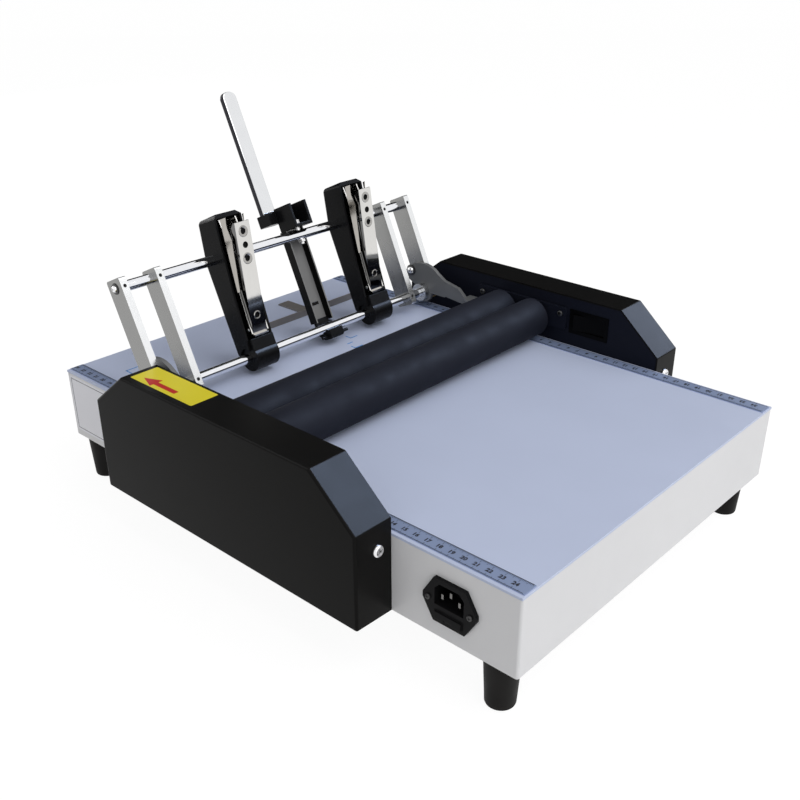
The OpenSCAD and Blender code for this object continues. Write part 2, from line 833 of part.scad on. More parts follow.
module fuse() {
    cap_len = 5;
    cap_t = 0.2;
    x0 = -wall_x - inlet_t + fuse_in + seat_fit + fuse_d / 2;
    color(steel) translate([x0, inlet_y, inlet_z - drawer_down]) rotate([90, 0, 0]) {
        translate([0, 0, -fuse_len / 2]) cylinder(d = fuse_d - 2 * cap_t, h = fuse_len);
        translate([0, 0, -fuse_len / 2]) cylinder(d = fuse_d, h = cap_len);
        translate([0, 0, fuse_len / 2 - cap_len]) cylinder(d = fuse_d, h = cap_len);
    }
}

module power_switch() {
    bezel = 1.6;
    bezel_t = 1;
    deep = 16;
    recess = 9;
    color(black) translate([0, -switch_y, switch_z]) difference() {
        union() {
            along_x(wall_x - bezel_t, bezel_t)
                square([switch_len + 2 * bezel, switch_h + 2 * bezel], center = true);
            along_x(wall_x, deep)
                square([switch_len - 2 * slide_fit, switch_h - 2 * slide_fit], center = true);
        }
        along_x(wall_x - bezel_t - through, bezel_t + recess + through)
            square([switch_len - 2 * switch_wall, switch_h - 2 * switch_wall], center = true);
        translate([rocker_x, 0, -switch_h / 2 - through])
            cylinder(d = rocker_pin_d + 2 * run_fit, h = switch_h + 2 * through);
    }
}

// A rocker with two shallow faces, turned to its off side
module switch_rocker() {
    end_gap = 0.9;
    half = switch_len / 2 - switch_wall - end_gap;
    h = switch_h - 2 * switch_wall - 2 * rocker_gap;
    crest = 5.5;
    dip = 3.5;
    back = 1.5;
    barrel = 3.5;
    pin_in = 0.5;
    pin_len = switch_h - 2 * slide_fit - 2 * pin_in;
    color(black) translate([rocker_x, -switch_y, switch_z]) rotate([0, 0, rocker_tilt]) {
        translate([0, 0, -h / 2]) linear_extrude(h) {
            polygon([
                [-crest, -half], [-dip, 0], [-crest, half], [-back, half],
                [0, barrel], [0, -barrel], [-back, -half]
            ]);
            circle(barrel);
        }
        translate([0, 0, -pin_len / 2]) cylinder(d = rocker_pin_d, h = pin_len);
    }
}

// Control board on stand-offs, with its transformer, relay and capacitors
module control_board() {
    board_w = 120;
    board_d = 80;
    board_t = 1.6;
    lift = 8;
    post_d = 6;
    post_in = 6;
    board_in_x = 72;
    board_in_y = 42.5;
    board_x = -wall_x + board_in_x;
    board_y = -rear_y + board_in_y;
    transformer_w = 42;
    transformer_d = 34;
    transformer_h = 28;
    relay_w = 20;
    relay_d = 16;
    cap_d = 12;
    cap_h = 20;
    cap_pitch = 16;
    z0 = base_z + bottom_t;
    z1 = lift + board_t;
    color([0.10, 0.32, 0.18]) translate([board_x, board_y, z0]) {
        translate([0, 0, lift]) cube([board_w, board_d, board_t]);
        for (dx = [post_in, board_w - post_in], dy = [post_in, board_d - post_in])
            translate([dx, dy, 0]) cylinder(d = post_d, h = lift);
        translate([post_d + post_in, post_d + post_in, z1])
            cube([transformer_w, transformer_d, transformer_h]);
        translate([board_w / 2 + post_in, post_d + post_in, z1]) cube([relay_w, relay_d, relay_d]);
        for (i = [0:2])
            translate([board_w / 2 + post_in + i * cap_pitch, board_d - 2 * cap_d, z1])
                cylinder(d = cap_d, h = cap_h);
    }
}

// Stapling frame

module shaft_bushes() {
    flange_w = 2.5;
    flange_d = bush_body_d + 2 * flange_w;
    body_len = frame_t + bush_tail;
    color([0.72, 0.58, 0.32])
        for (s = [-1, 1])
            mirror([s > 0 ? 0 : 1, 0, 0]) difference() {
                union() {
                    rod_x(bush_body_d - 2 * seat_fit, wall_x, body_len, shaft_y, shaft_z);
                    rod_x(flange_d, wall_x - bush_flange_t, bush_flange_t, shaft_y, shaft_z);
                }
                rod_x(rod_d + 2 * run_fit, wall_x - bush_flange_t - through,
                    body_len + bush_flange_t + 2 * through, shaft_y, shaft_z);
            }
}

module lower_shaft() {
    len = base_w + 2 * (frame_t + bush_tail);
    color(steel) rod_x(rod_d, -len / 2, len, shaft_y, shaft_z);
}

module upper_rod() {
    len = 2 * (outer_bar_x + bar_w);
    color(steel) in_frame() difference() {
        rod_x(rod_d, -len / 2, len, 0, rod_pitch);
        translate([handle_x, 0, rod_pitch - rod_d]) cylinder(d = bolt_d + 2 * seat_fit, h = 2 * rod_d);
    }
}

// A flat bar with squared ends, clamped to both rods by set screws from the front
module side_bar(x) {
    end_wall = 3;
    edge_r = 2;
    color(steel) in_frame() difference() {
        along_x(x, bar_w)
            translate([0, rod_pitch / 2]) rounded_rect(bar_d, rod_pitch + rod_d + 2 * end_wall, edge_r);
        for (s = [0, rod_pitch]) {
            rod_x(rod_d + 2 * seat_fit, x - through, bar_w + 2 * through, 0, s);
            translate([x + bar_w / 2, 0, s]) rotate([90, 0, 0]) cylinder(d = set_hole_d, h = bar_d);
        }
    }
}

module left_outer_bar() side_bar(-outer_bar_x - bar_w);
module right_outer_bar() side_bar(outer_bar_x);
module left_inner_bar() side_bar(-inner_bar_x - bar_w);
module right_inner_bar() side_bar(inner_bar_x);

// A sector plate screwed to the outer bar, with an arm that ends in a flat thumb tab
module shaft_lever(side) {
    hub_r = 11;
    sector_rear = 25;
    sector_front = 180;
    sector_step = (sector_front - sector_rear) / 3;
    arm_h = 13;
    arm_tip = 4;
    arm_low = -2;
    tab_z = 3;
    tab_t = 3;
    tab_len = 22;
    tab_in = 14.5;
    tab_side_gap = 0.5;
    tab_out = wall_x - bearing_t - tab_side_gap - lever_x;
    tab_gap = 1.5;
    reach = min(lever_reach, shaft_y - rear_roller_y - roller_r - tab_gap);
    color(grey) translate([0, shaft_y, shaft_z]) mirror([side > 0 ? 0 : 1, 0, 0]) difference() {
        union() {
            along_x(lever_x, lever_t) {
                intersection() {
                    circle(lever_r);
                    polygon(concat([[0, 0]], [
                        for (i = [0:3]) polar(2 * lever_r, sector_rear + i * sector_step)
                    ]));
                }
                circle(hub_r);
                polygon([
                    [-lever_r * 0.55, lever_r * 0.82], [-lever_r * 0.95, lever_r * 0.58],
                    [-reach + tab_len + 2 * arm_tip, arm_h], [-reach + tab_len, tab_z + tab_t],
                    [-reach, tab_z + tab_t], [-reach, tab_z],
                    [-reach + tab_len - arm_tip, arm_low], [-hub_r, tab_t], [0, hub_r]
                ]);
            }
            translate([lever_x, -reach, tab_z]) linear_extrude(tab_t)
                polygon([[-tab_in, 0], [tab_out, 0], [tab_out, tab_len], [0, tab_len]]);
        }
        rod_x(rod_d + 2 * seat_fit, lever_x - through, lever_t + 2 * through);
    }
}

module left_shaft_lever() shaft_lever(-1);
module right_shaft_lever() shaft_lever(1);

module shaft_collars() {
    color(steel)
        for (s = [-1, 1])
            mirror([s > 0 ? 0 : 1, 0, 0]) difference() {
                rod_x(collar_d, collar_x, collar_len, shaft_y, shaft_z);
                rod_x(rod_d + 2 * seat_fit, collar_x - through, collar_len + 2 * through, shaft_y, shaft_z);
            }
}

// Staplers: a nose block on the shaft, a tapering shell, a magazine channel and a staple lever

module stapler_nose(x) {
    back = shell_back - shell_t - 2 * nose_fit;
    front = nose_r - 1;
    heel = 6;
    color(black) in_frame() difference() {
        along_x(x - nose_w / 2, nose_w) {
            circle(nose_r);
            polygon([[-front, 0], [nose_r, 0], [back, heel], [back, nose_h], [-front, nose_h]]);
        }
        rod_x(rod_d + 2 * seat_fit, x - nose_w / 2 - through, nose_w + 2 * through);
    }
}

module left_stapler_nose() stapler_nose(stapler_left);
module right_stapler_nose() stapler_nose(stapler_right);

// Front edge of a shell, at a distance up from the shaft
function shell_front(up) = up < shell_knee
    ? knee_front - (shell_knee - up) * foot_flare
    : knee_front + (up - shell_knee) * head_flare;

// A tapering hollow shell, open at the front and below, with an arched head
module stapler_shell(x) {
    r = 4;
    start = 6;
    half = shell_w / 2;
    inner = half - shell_t;
    lip_w = 4;
    head_h = 10;
    arch_h = 2;
    head_y = shell_back - head_in;
    head_front = shell_front(shell_len);
    head_inner = shell_len - shell_t - arch_h;
    ahead = 60;
    color(black) in_frame() translate([x, 0, 0]) difference() {
        hull() {
            for (sx = [-1, 1]) {
                translate([sx * (half - r), shell_back - r, start]) sphere(r, $fn = hull_fn);
                translate([sx * (half - r), shell_back - bend_in - r, shell_bend]) sphere(r, $fn = hull_fn);
                translate([sx * (half - r), head_y - r, shell_len - r]) sphere(r, $fn = hull_fn);
                translate([sx * (half - lip_w / 2) - lip_w / 2, -head_front, shell_len - head_h])
                    cube([lip_w, arch_h, head_h - r]);
                translate([sx * (half - lip_w / 2) - lip_w / 2, -shell_front(start), start - r])
                    cube([lip_w, arch_h, r]);
            }
            translate([0, -head_front + r, shell_len - arch_h / 2])
                cube([shell_w - 2 * r, r, arch_h], center = true);
        }
        along_x(-half - through, shell_w + 2 * through) polygon([
            [-shell_front(start - r), start - r - through], [-shell_front(shell_knee), shell_knee],
            [-head_front, shell_len - arch_h], [-head_front - ahead, shell_len - arch_h],
            [-head_front - ahead, start - r - through]
        ]);
        along_x(-inner, 2 * inner) polygon([
            [shell_back - shell_t, start - 2 * r], [shell_back - shell_t - bend_in, shell_bend],
            [head_y - shell_t, head_inner], [-ahead, head_inner], [-ahead, start - 2 * r]
        ]);
        rod_x(rod_d + 2 * seat_fit, -half - through, shell_w + 2 * through, 0, rod_pitch);
        rod_x(2 * rod_d, -half - through, shell_w + 2 * through, 0, 0);
    }
}

module left_stapler_shell() stapler_shell(stapler_left);
module right_stapler_shell() stapler_shell(stapler_right);

// A bright U channel inside the shell, hung on the upper rod
module magazine(x) {
    half = magazine_w / 2;
    back = shell_back - shell_t - magazine_fit;
    head_back = 3;
    wall_front = pin_front + 4;
    mouth = 30;
    waist = 60;
    waist_front = 14;
    neck = 12;
    slope = 8;
    brow = 5;
    head_front = shell_front(magazine_end);
    ahead = 60;
    color(steel) in_frame() translate([x, 0, 0]) difference() {
        along_x(-half, magazine_w) polygon([
            [back, magazine_start], [back - magazine_tilt, shell_bend], [-head_back, magazine_end],
            [-head_front + 1, magazine_end], [-head_front, magazine_end - neck],
            [-head_front - brow, magazine_end - neck - slope],
            [-waist_front, waist], [-wall_front, mouth], [-wall_front, magazine_start]
        ]);
        along_x(-half + magazine_t, magazine_w - 2 * magazine_t) polygon([
            [back - magazine_t, magazine_start - through], [back - magazine_tilt - magazine_t, shell_bend],
            [-head_back - magazine_t, magazine_end + through], [-ahead, magazine_end + through],
            [-ahead, magazine_start - through]
        ]);
        rod_x(rod_d + 2 * seat_fit, -half - through, magazine_w + 2 * through, 0, rod_pitch);
        rod_x(hinge_pin_d + 2 * seat_fit, -half - through, magazine_w + 2 * through, -pin_front, pin_along);
    }
}

module left_magazine() magazine(stapler_left);
module right_magazine() magazine(stapler_right);

module hinge_pins() {
    rivet = 0.5;
    color(steel) in_frame()
        for (x = [stapler_left, stapler_right])
            rod_x(hinge_pin_d, x - magazine_w / 2 - rivet, magazine_w + 2 * rivet, -pin_front, pin_along);
}

// A bright channel that turns on its hinge pin, with rivet holes and a bent foot
module staple_lever(x) {
    half = staple_lever_w / 2;
    sheet = 1.2;
    below = 5;
    ear = hinge_pin_d;
    ear_h = 3;
    shoulder = 14;
    front = 4.5;
    back = staple_lever_d - front;
    end = staple_lever_len - below;
    end_cut = 6;
    toe = 2;
    hole_d = 5.5;
    hole_pitch = 11.4;
    end_hole = 8;
    foot_hole = 12;
    first_hole = end - end_hole;
    holes = [first_hole, first_hole - hole_pitch, first_hole - 2 * hole_pitch, foot_hole];
    color(steel) in_frame() translate([x, -pin_front, pin_along]) rotate([staple_lever_tilt, 0, 0])
        difference() {
            union() {
                difference() {
                    along_x(-half, staple_lever_w) polygon([
                        [-front, -below], [ear, -below], [ear, ear_h], [back, shoulder],
                        [back, end - end_cut], [-front + toe, end], [-front, end]
                    ]);
                    translate([-half + sheet, -front + sheet, -below - through])
                        cube([
                            staple_lever_w - 2 * sheet,
                            front + ear + through,
                            staple_lever_len + 2 * through
                        ]);
                }
                translate([-half, -front - toe, -below]) cube([staple_lever_w, toe + sheet, sheet]);
            }
            rod_x(hinge_pin_d + 2 * run_fit, -half - through, staple_lever_w + 2 * through);
            for (up = holes)
                translate([0, 0, up]) rotate([90, 0, 0]) cylinder(d = hole_d, h = front + through);
        }
}

module left_staple_lever() staple_lever(stapler_left);
module right_staple_lever() staple_lever(stapler_right);

// Handle

// A channel open to the front, standing on the saddle and carrying the bracket
module handle_channel() {
    back = shell_back;
    slot_w = 11;
    slot_h = 3;
    slot_along = 23;
    len = bracket_start - handle_start;
    color(grey) in_frame() translate([handle_x, 0, 0]) difference() {
        translate([-handle_w / 2, back - handle_d, handle_start]) cube([handle_w, handle_d, len]);
        translate([-handle_w / 2 + handle_t, back - handle_d - through, handle_start - through])
            cube([handle_w - 2 * handle_t, handle_d - handle_t + through, len + 2 * through]);
        translate([-slot_w / 2, back - handle_t - through, slot_along])
            cube([slot_w, handle_t + 2 * through, slot_h]);
    }
}

// A clip under the shaft, open to the front, with a lug against the channel's web and a cross pin
module handle_saddle() {
    side_in = 2.5;
    jaw_t = 6;
    jaw_bevel = 2;
    lug_t = 3;
    lug_h = 3;
    pin_d = 3;
    pin_left = 6;
    pin_right = 10;
    wrap = 2;
    w = handle_w - 2 * side_in;
    low = -rod_r - jaw_t;
    front = -rod_r - wrap;
    web = shell_back - handle_t;
    lip = polar(rod_r * 0.98, 205);
    color(black) in_frame() translate([handle_x, 0, 0]) difference() {
        union() {
            along_x(-w / 2, w) polygon([
                [0, 0], lip, [front, lip[1]], [front, low + jaw_bevel], [front + jaw_bevel, low],
                [rod_r, low], [web, -rod_r], [web, handle_start + lug_h], [web - lug_t, handle_start + lug_h],
                [web - lug_t, rod_r], polar(rod_r * 0.96, 45)
            ]);
            rod_x(pin_d, -w / 2 - pin_left, w + pin_left + pin_right, 0, low + pin_d);
        }
        rod_x(rod_d + 2 * seat_fit, -w / 2 - through, w + 2 * through);
    }
}

// A moulded block with an open front, and a rear tab that grips the handle bar
module handle_bracket() {
    tab_top = bracket_start + bracket_h - tab_drop;
    tab_r = 3;
    tab_rear = grip_back + grip_t / 2 + 2 * tab_wall;
    root = bracket_rear - 1;
    color(black) in_frame() translate([handle_x, 0, 0]) difference() {
        union() {
            translate([-handle_w / 2, -bracket_front, bracket_start])
                cube([handle_w, bracket_front + bracket_rear, bracket_h]);
            translate([-grip_left, 0, tab_top - tab_h]) linear_extrude(tab_h) {
                translate([-tab_w / 2, root]) square([tab_w, tab_rear - tab_r - root]);
                translate([-tab_w / 2 + tab_r, root]) square([tab_w - 2 * tab_r, tab_rear - root]);
                for (s = [-1, 1]) translate([s * (tab_w / 2 - tab_r), tab_rear - tab_r]) circle(tab_r);
            }
        }
        translate([-handle_w / 2 + bracket_t, -bracket_front - through, bracket_start + bracket_t])
            cube([handle_w - 2 * bracket_t, bracket_front + bracket_rear - bracket_t, bracket_h]);
        translate([-grip_left, grip_back, tab_top - socket_depth]) linear_extrude(tab_h)
            square([grip_w + 2 * seat_fit, grip_t + 2 * seat_fit], center = true);
        translate([0, 0, bracket_start - through])
            cylinder(d = bolt_d + 2 * seat_fit, h = bracket_t + 2 * through);
    }
}

// The bolt that ties the bracket to the upper rod
module bracket_bolt() {
    head_d = 2 * bolt_d;
    head_h = bolt_d;
    seat = bracket_start + bracket_t;
    tip = rod_pitch - rod_d;
    nut_d = 7;
    nut_h = 2.5;
    color(steel) in_frame() translate([handle_x, 0, 0]) {
        translate([0, 0, tip]) cylinder(d = bolt_d, h = seat - tip);
        translate([0, 0, seat]) cylinder(d = head_d, h = head_h, $fn = 6);
        translate([0, 0, rod_pitch - rod_r - nut_h]) cylinder(d = nut_d, h = nut_h, $fn = 6);
    }
}

// A flat bright bar with a rounded end
module handle_bar() {
    start = bracket_start + bracket_h - tab_drop - socket_depth;
    end_r = 6;
    color(steel) in_frame() translate([handle_x - grip_left, grip_back + grip_t / 2, 0]) rotate([90, 0, 0])
        linear_extrude(grip_t) {
            translate([-grip_w / 2, start]) square([grip_w, grip_end - end_r - start]);
            translate([-grip_w / 2 + end_r, grip_end - 2 * end_r]) square([grip_w - 2 * end_r, 2 * end_r]);
            for (s = [-1, 1]) translate([s * (grip_w / 2 - end_r), grip_end - end_r]) circle(end_r);
        }
}

base_shell();
bottom_plate();
rear_table();
front_table();
feet();
left_side_frame();
right_side_frame();
left_cover();
right_cover();
left_bearing_plate();
right_bearing_plate();
left_ruler();
right_ruler();
rear_stop();
front_roller_shaft();
rear_roller_shaft();
front_roller_sleeve();
rear_roller_sleeve();
front_roller_gear();
rear_roller_gear();
idler_gear();
idler_stud();
drive_pinion();
drive_motor();
folding_knife();
knife_carrier();
knife_plunger();
knife_guides();
knife_solenoid();
power_inlet();
inlet_pins();
fuse_drawer();
fuse();
power_switch();
switch_rocker();
control_board();
shaft_bushes();
lower_shaft();
upper_rod();
left_outer_bar();
right_outer_bar();
left_inner_bar();
right_inner_bar();
left_shaft_lever();
right_shaft_lever();
shaft_collars();
left_stapler_nose();
right_stapler_nose();
left_stapler_shell();
right_stapler_shell();
left_magazine();
right_magazine();
hinge_pins();
left_staple_lever();
right_staple_lever();
handle_channel();
handle_saddle();
handle_bracket();
bracket_bolt();
handle_bar();
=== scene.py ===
import math

import bmesh
import bpy
from mathutils import Matrix, Vector


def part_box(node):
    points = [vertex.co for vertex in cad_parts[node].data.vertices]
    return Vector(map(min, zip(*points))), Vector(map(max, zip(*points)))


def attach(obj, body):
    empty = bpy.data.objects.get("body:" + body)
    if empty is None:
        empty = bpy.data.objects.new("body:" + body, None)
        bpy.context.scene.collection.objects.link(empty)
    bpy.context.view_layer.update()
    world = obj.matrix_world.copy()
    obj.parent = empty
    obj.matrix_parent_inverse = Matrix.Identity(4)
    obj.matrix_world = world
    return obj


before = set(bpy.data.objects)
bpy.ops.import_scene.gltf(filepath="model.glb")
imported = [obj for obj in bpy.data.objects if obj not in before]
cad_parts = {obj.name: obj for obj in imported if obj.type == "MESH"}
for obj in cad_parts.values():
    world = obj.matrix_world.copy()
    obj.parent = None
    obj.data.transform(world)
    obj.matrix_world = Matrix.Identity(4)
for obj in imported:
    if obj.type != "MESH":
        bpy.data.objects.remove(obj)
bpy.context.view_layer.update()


# Base shell and bottom plate. Folded 1.5 mm steel, spot-welded at the corners,
# sprayed with satin white powder that leaves a faint orange peel.
MM = 0.001
base_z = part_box("base_shell")[0].z
white_paint_colour = (0.74, 0.74, 0.755)
# Most of a noise lies between these two values.
noise_low = 0.3
noise_high = 0.7
smooth_angle = math.radians(32)
flat_angle = math.radians(0.6)
corner_angle = math.radians(40)
weld_gap = 0.002 * MM


def new_finish(name):
    """A new material, with its node tree, its shader and the piece's own coordinates."""
    material = bpy.data.materials.new(name)
    material.use_nodes = True
    tree = material.node_tree
    shader = tree.nodes["Principled BSDF"]
    place = tree.nodes.new("ShaderNodeTexCoord").outputs["Object"]
    return material, tree, shader, place


def grain(tree, place, scale, detail, stretch=(1, 1, 1), turn=(0, 0, 0)):
    """Noise over the surface, drawn out along an axis where the finish has a direction."""
    mapping = tree.nodes.new("ShaderNodeMapping")
    mapping.inputs["Scale"].default_value = stretch
    mapping.inputs["Rotation"].default_value = turn
    tree.links.new(place, mapping.inputs["Vector"])
    noise = tree.nodes.new("ShaderNodeTexNoise")
    noise.inputs["Scale"].default_value = scale
    noise.inputs["Detail"].default_value = detail
    tree.links.new(mapping.outputs["Vector"], noise.inputs["Vector"])
    return noise.outputs["Fac"]


def tint(tree, shader, noise, dark, light):
    """Blends two close shades of the finish's colour by a noise."""
    ramp = tree.nodes.new("ShaderNodeValToRGB")
    ramp.color_ramp.elements[0].position = noise_low
    ramp.color_ramp.elements[1].position = noise_high
    ramp.color_ramp.elements[0].color = (*dark, 1)
    ramp.color_ramp.elements[1].color = (*light, 1)
    tree.links.new(noise, ramp.inputs["Fac"])
    tree.links.new(ramp.outputs["Color"], shader.inputs["Base Color"])


def roughen(tree, shader, noise, gloss):
    """Lets the roughness run between two limits by a noise."""
    remap = tree.nodes.new("ShaderNodeMapRange")
    remap.inputs["From Min"].default_value = noise_low
    remap.inputs["From Max"].default_value = noise_high
    remap.inputs["To Min"].default_value = gloss[0]
    remap.inputs["To Max"].default_value = gloss[1]
    tree.links.new(noise, remap.inputs["Value"])
    tree.links.new(remap.outputs["Result"], shader.inputs["Roughness"])


def relief(tree, shader, noise, strength, depth):
    """Lets a noise stand out as fine relief."""
    bump = tree.nodes.new("ShaderNodeBump")
    bump.inputs["Strength"].default_value = strength
    bump.inputs["Distance"].default_value = depth
    tree.links.new(noise, bump.inputs["Height"])
    tree.links.new(bump.outputs["Normal"], shader.inputs["Normal"])


def shade(colour, factor):
    """A colour made lighter or darker by a factor."""
    return tuple(min(1.0, c * factor) for c in colour)


def coated(name, colour, gloss, mottle, peel, depth, peel_scale=900.0, shine=0.5, metal=0.0):
    """A sprayed, printed or moulded finish: its colour, roughness range, mottling and relief."""
    material, tree, shader, place = new_finish(name)
    shader.inputs["Metallic"].default_value = metal
    shader.inputs["Specular IOR Level"].default_value = shine
    patches = grain(tree, place, scale=14.0, detail=4.0)
    tint(tree, shader, patches, shade(colour, 1 - mottle), shade(colour, 1 + mottle))
    roughen(tree, shader, grain(tree, place, scale=60.0, detail=4.0), gloss)
    relief(tree, shader, grain(tree, place, scale=peel_scale, detail=2.0), peel, depth)
    return material


def shading_tree():
    """Smooths a solid's curved faces and keeps the edges that a maker would leave crisp."""
    tree = bpy.data.node_groups.new("crisp_edges", "GeometryNodeTree")
    tree.interface.new_socket("Geometry", in_out="INPUT", socket_type="NodeSocketGeometry")
    tree.interface.new_socket("Geometry", in_out="OUTPUT", socket_type="NodeSocketGeometry")
    start = tree.nodes.new("NodeGroupInput")
    end = tree.nodes.new("NodeGroupOutput")
    faces = tree.nodes.new("GeometryNodeSetShadeSmooth")
    faces.domain = "FACE"
    faces.inputs["Shade Smooth"].default_value = True
    edges = tree.nodes.new("GeometryNodeSetShadeSmooth")
    edges.domain = "EDGE"
    angle = tree.nodes.new("GeometryNodeInputMeshEdgeAngle")
    under = tree.nodes.new("FunctionNodeCompare")
    under.data_type = "FLOAT"
    under.operation = "LESS_THAN"
    under.inputs[1].default_value = smooth_angle
    tree.links.new(angle.outputs["Unsigned Angle"], under.inputs[0])
    tree.links.new(under.outputs["Result"], edges.inputs["Shade Smooth"])
    tree.links.new(start.outputs["Geometry"], faces.inputs["Geometry"])
    tree.links.new(faces.outputs["Geometry"], edges.inputs["Geometry"])
    tree.links.new(edges.outputs["Geometry"], end.inputs["Geometry"])
    return tree


crisp_edges = shading_tree()


def dress(material, *names, edge):
    """Gives CAD nodes their finish and breaks their edges by a small radius, or by none."""
    for name in names:
        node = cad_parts[name]
        node.data.materials.clear()
        node.data.materials.append(material)
        weld = node.modifiers.new("weld", "WELD")
        weld.merge_threshold = weld_gap
        if edge:
            flat = node.modifiers.new("flat_faces", "DECIMATE")
            flat.decimate_type = "DISSOLVE"
            flat.angle_limit = flat_angle
            bevel = node.modifiers.new("broken_edges", "BEVEL")
            bevel.width = edge
            bevel.segments = 2
            bevel.limit_method = "ANGLE"
            bevel.angle_limit = corner_angle
        crisp = node.modifiers.new("crisp_edges", "NODES")
        crisp.node_group = crisp_edges
        node.modifiers.new("even_light", "WEIGHTED_NORMAL").keep_sharp = True


white_paint = coated("white_paint", white_paint_colour, gloss=(0.34, 0.46), mottle=0.012,
                     peel=0.10, depth=0.06 * MM)
dress(white_paint, "base_shell", "bottom_plate", edge=0.4 * MM)


# Feet. Tapered black rubber, moulded round a steel washer,
# and screwed up into the base at its four corners.
foot_black = (0.0105, 0.0098, 0.0095)
foot_rubber = coated("foot_rubber", foot_black, gloss=(0.50, 0.65), mottle=0.15,
                     peel=0.20, depth=0.06 * MM, peel_scale=500.0, shine=0.10)
dress(foot_rubber, "feet", edge=0.5 * MM)


# Feed tables. Two steel sheets with a lilac-grey satin coating, screwed on the base
# with a slot between them for the folding knife. Blue guide lines are printed on the rear one.
table_sheet_colour = (0.535, 0.595, 0.775)
table_sheet = coated("table_sheet", table_sheet_colour, gloss=(0.30, 0.38), mottle=0.015,
                     peel=0.04, depth=0.02 * MM, peel_scale=240.0, shine=0.4)
dress(table_sheet, "rear_table", "front_table", edge=0.3 * MM)

guide_blue = (0.06, 0.26, 0.62)
guide_ink = coated("guide_ink", guide_blue, gloss=(0.4, 0.5), mottle=0.10,
                   peel=0.03, depth=0.01 * MM, peel_scale=300.0)
table_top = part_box("rear_table")[1].z
ink_height = 0.06 * MM
guide_width = 1.3 * MM
# Each guide line runs between two points, here in millimetres.
rear_guides = (
    ((-138, 206.6), (-112, 206.6)), ((-138, 186), (-138, 206.6)),
    ((36, 104), (42, 104)),
    ((34, 92), (34, 97)), ((34, 92), (43, 92)),
    ((48, 112), (48, 118)), ((48, 112), (56, 112)),
)


def as_piece(name, bm, material, body):
    """Closes a mesh into a named piece that rides on a body."""
    bmesh.ops.recalc_face_normals(bm, faces=bm.faces)
    mesh = bpy.data.meshes.new(name)
    bm.to_mesh(mesh)
    bm.free()
    mesh.materials.append(material)
    for face in mesh.polygons:
        face.use_smooth = True
    mesh.set_sharp_from_angle(angle=smooth_angle)
    piece = bpy.data.objects.new(name, mesh)
    bpy.context.scene.collection.objects.link(piece)
    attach(piece, body)


def skin(bm, rings):
    """Faces between each closed ring of points and the next."""
    for lower, upper in zip(rings, rings[1:]):
        count = len(lower)
        for k in range(count):
            n = (k + 1) % count
            bm.faces.new((lower[k], lower[n], upper[n], upper[k]))


def close_ends(bm, rings):
    """Faces over the first and the last ring."""
    bm.faces.new(rings[0][::-1])
    bm.faces.new(rings[-1])


def rectangle(x0, y0, x1, y1):
    """Outline of a rectangle between two opposite corners."""
    x0, x1 = sorted((x0, x1))
    y0, y1 = sorted((y0, y1))
    return ((x0, y0), (x1, y0), (x1, y1), (x0, y1))


def add_slab(bm, outline, low, high, place=Matrix.Identity(4)):
    """A closed slab over a flat outline, from low to high along the local Z."""
    rings = [[bm.verts.new(place @ Vector((x, y, z))) for x, y in outline] for z in (low, high)]
    skin(bm, rings)
    close_ends(bm, rings)


guides = bmesh.new()
for (x0, y0), (x1, y1) in rear_guides:
    half = guide_width / 2
    outline = rectangle(x0 * MM - half, y0 * MM - half, x1 * MM + half, y1 * MM + half)
    add_slab(guides, outline, table_top, table_top + ink_height)
as_piece("table_guides", guides, guide_ink, "base")


# Side rulers. Slate-blue anodised strips stuck along both edges of the tables, printed in
# dark ink with a millimetre scale that counts centimetres outwards from the fold line.
ruler_blue = (0.28, 0.35, 0.54)
ruler_strip = coated("ruler_strip", ruler_blue, gloss=(0.30, 0.38), mottle=0.03,
                     peel=0.04, depth=0.01 * MM, peel_scale=300.0, metal=0.25)
dress(ruler_strip, "left_ruler", "right_ruler", edge=0.15 * MM)

ruler_dark = (0.010, 0.011, 0.020)
ruler_ink = coated("ruler_ink", ruler_dark, gloss=(0.4, 0.5), mottle=0.10,
                   peel=0.04, depth=0.01 * MM)
sides = (("left", -1), ("right", 1))
fold_y = 4 * MM
scale_steps = 252
scale_margin = 1.5 * MM
border_near = 0.2 * MM
border_far = 0.7 * MM
tick_width = 0.22 * MM
centimetre_tick = 4.2 * MM
half_tick = 3.0 * MM
millimetre_tick = 2.0 * MM
outer_tick_share = 0.55
numeral_size = 4.8 * MM
numeral_weight = 0.22 * MM
numeral_reach = 7.2 * MM


def tick_length(step):
    """Long at each centimetre, middling half-way and short at each millimetre."""
    if step % 10 == 0:
        return centimetre_tick
    return half_tick if step % 5 == 0 else millimetre_tick


def add_numeral(bm, text, place):
    """A plain printed number, as thin raised ink, in the local XY plane."""
    curve = bpy.data.curves.new("numeral", "FONT")
    curve.body = text
    curve.size = numeral_size
    curve.align_x = "CENTER"
    curve.align_y = "CENTER"
    curve.resolution_u = 3
    curve.extrude = ink_height / 2
    curve.offset = numeral_weight
    holder = bpy.data.objects.new("numeral", curve)
    bpy.context.scene.collection.objects.link(holder)
    mesh = holder.to_mesh()
    mesh.transform(place)
    bm.from_mesh(mesh)
    holder.to_mesh_clear()
    bpy.data.objects.remove(holder)
    bpy.data.curves.remove(curve)


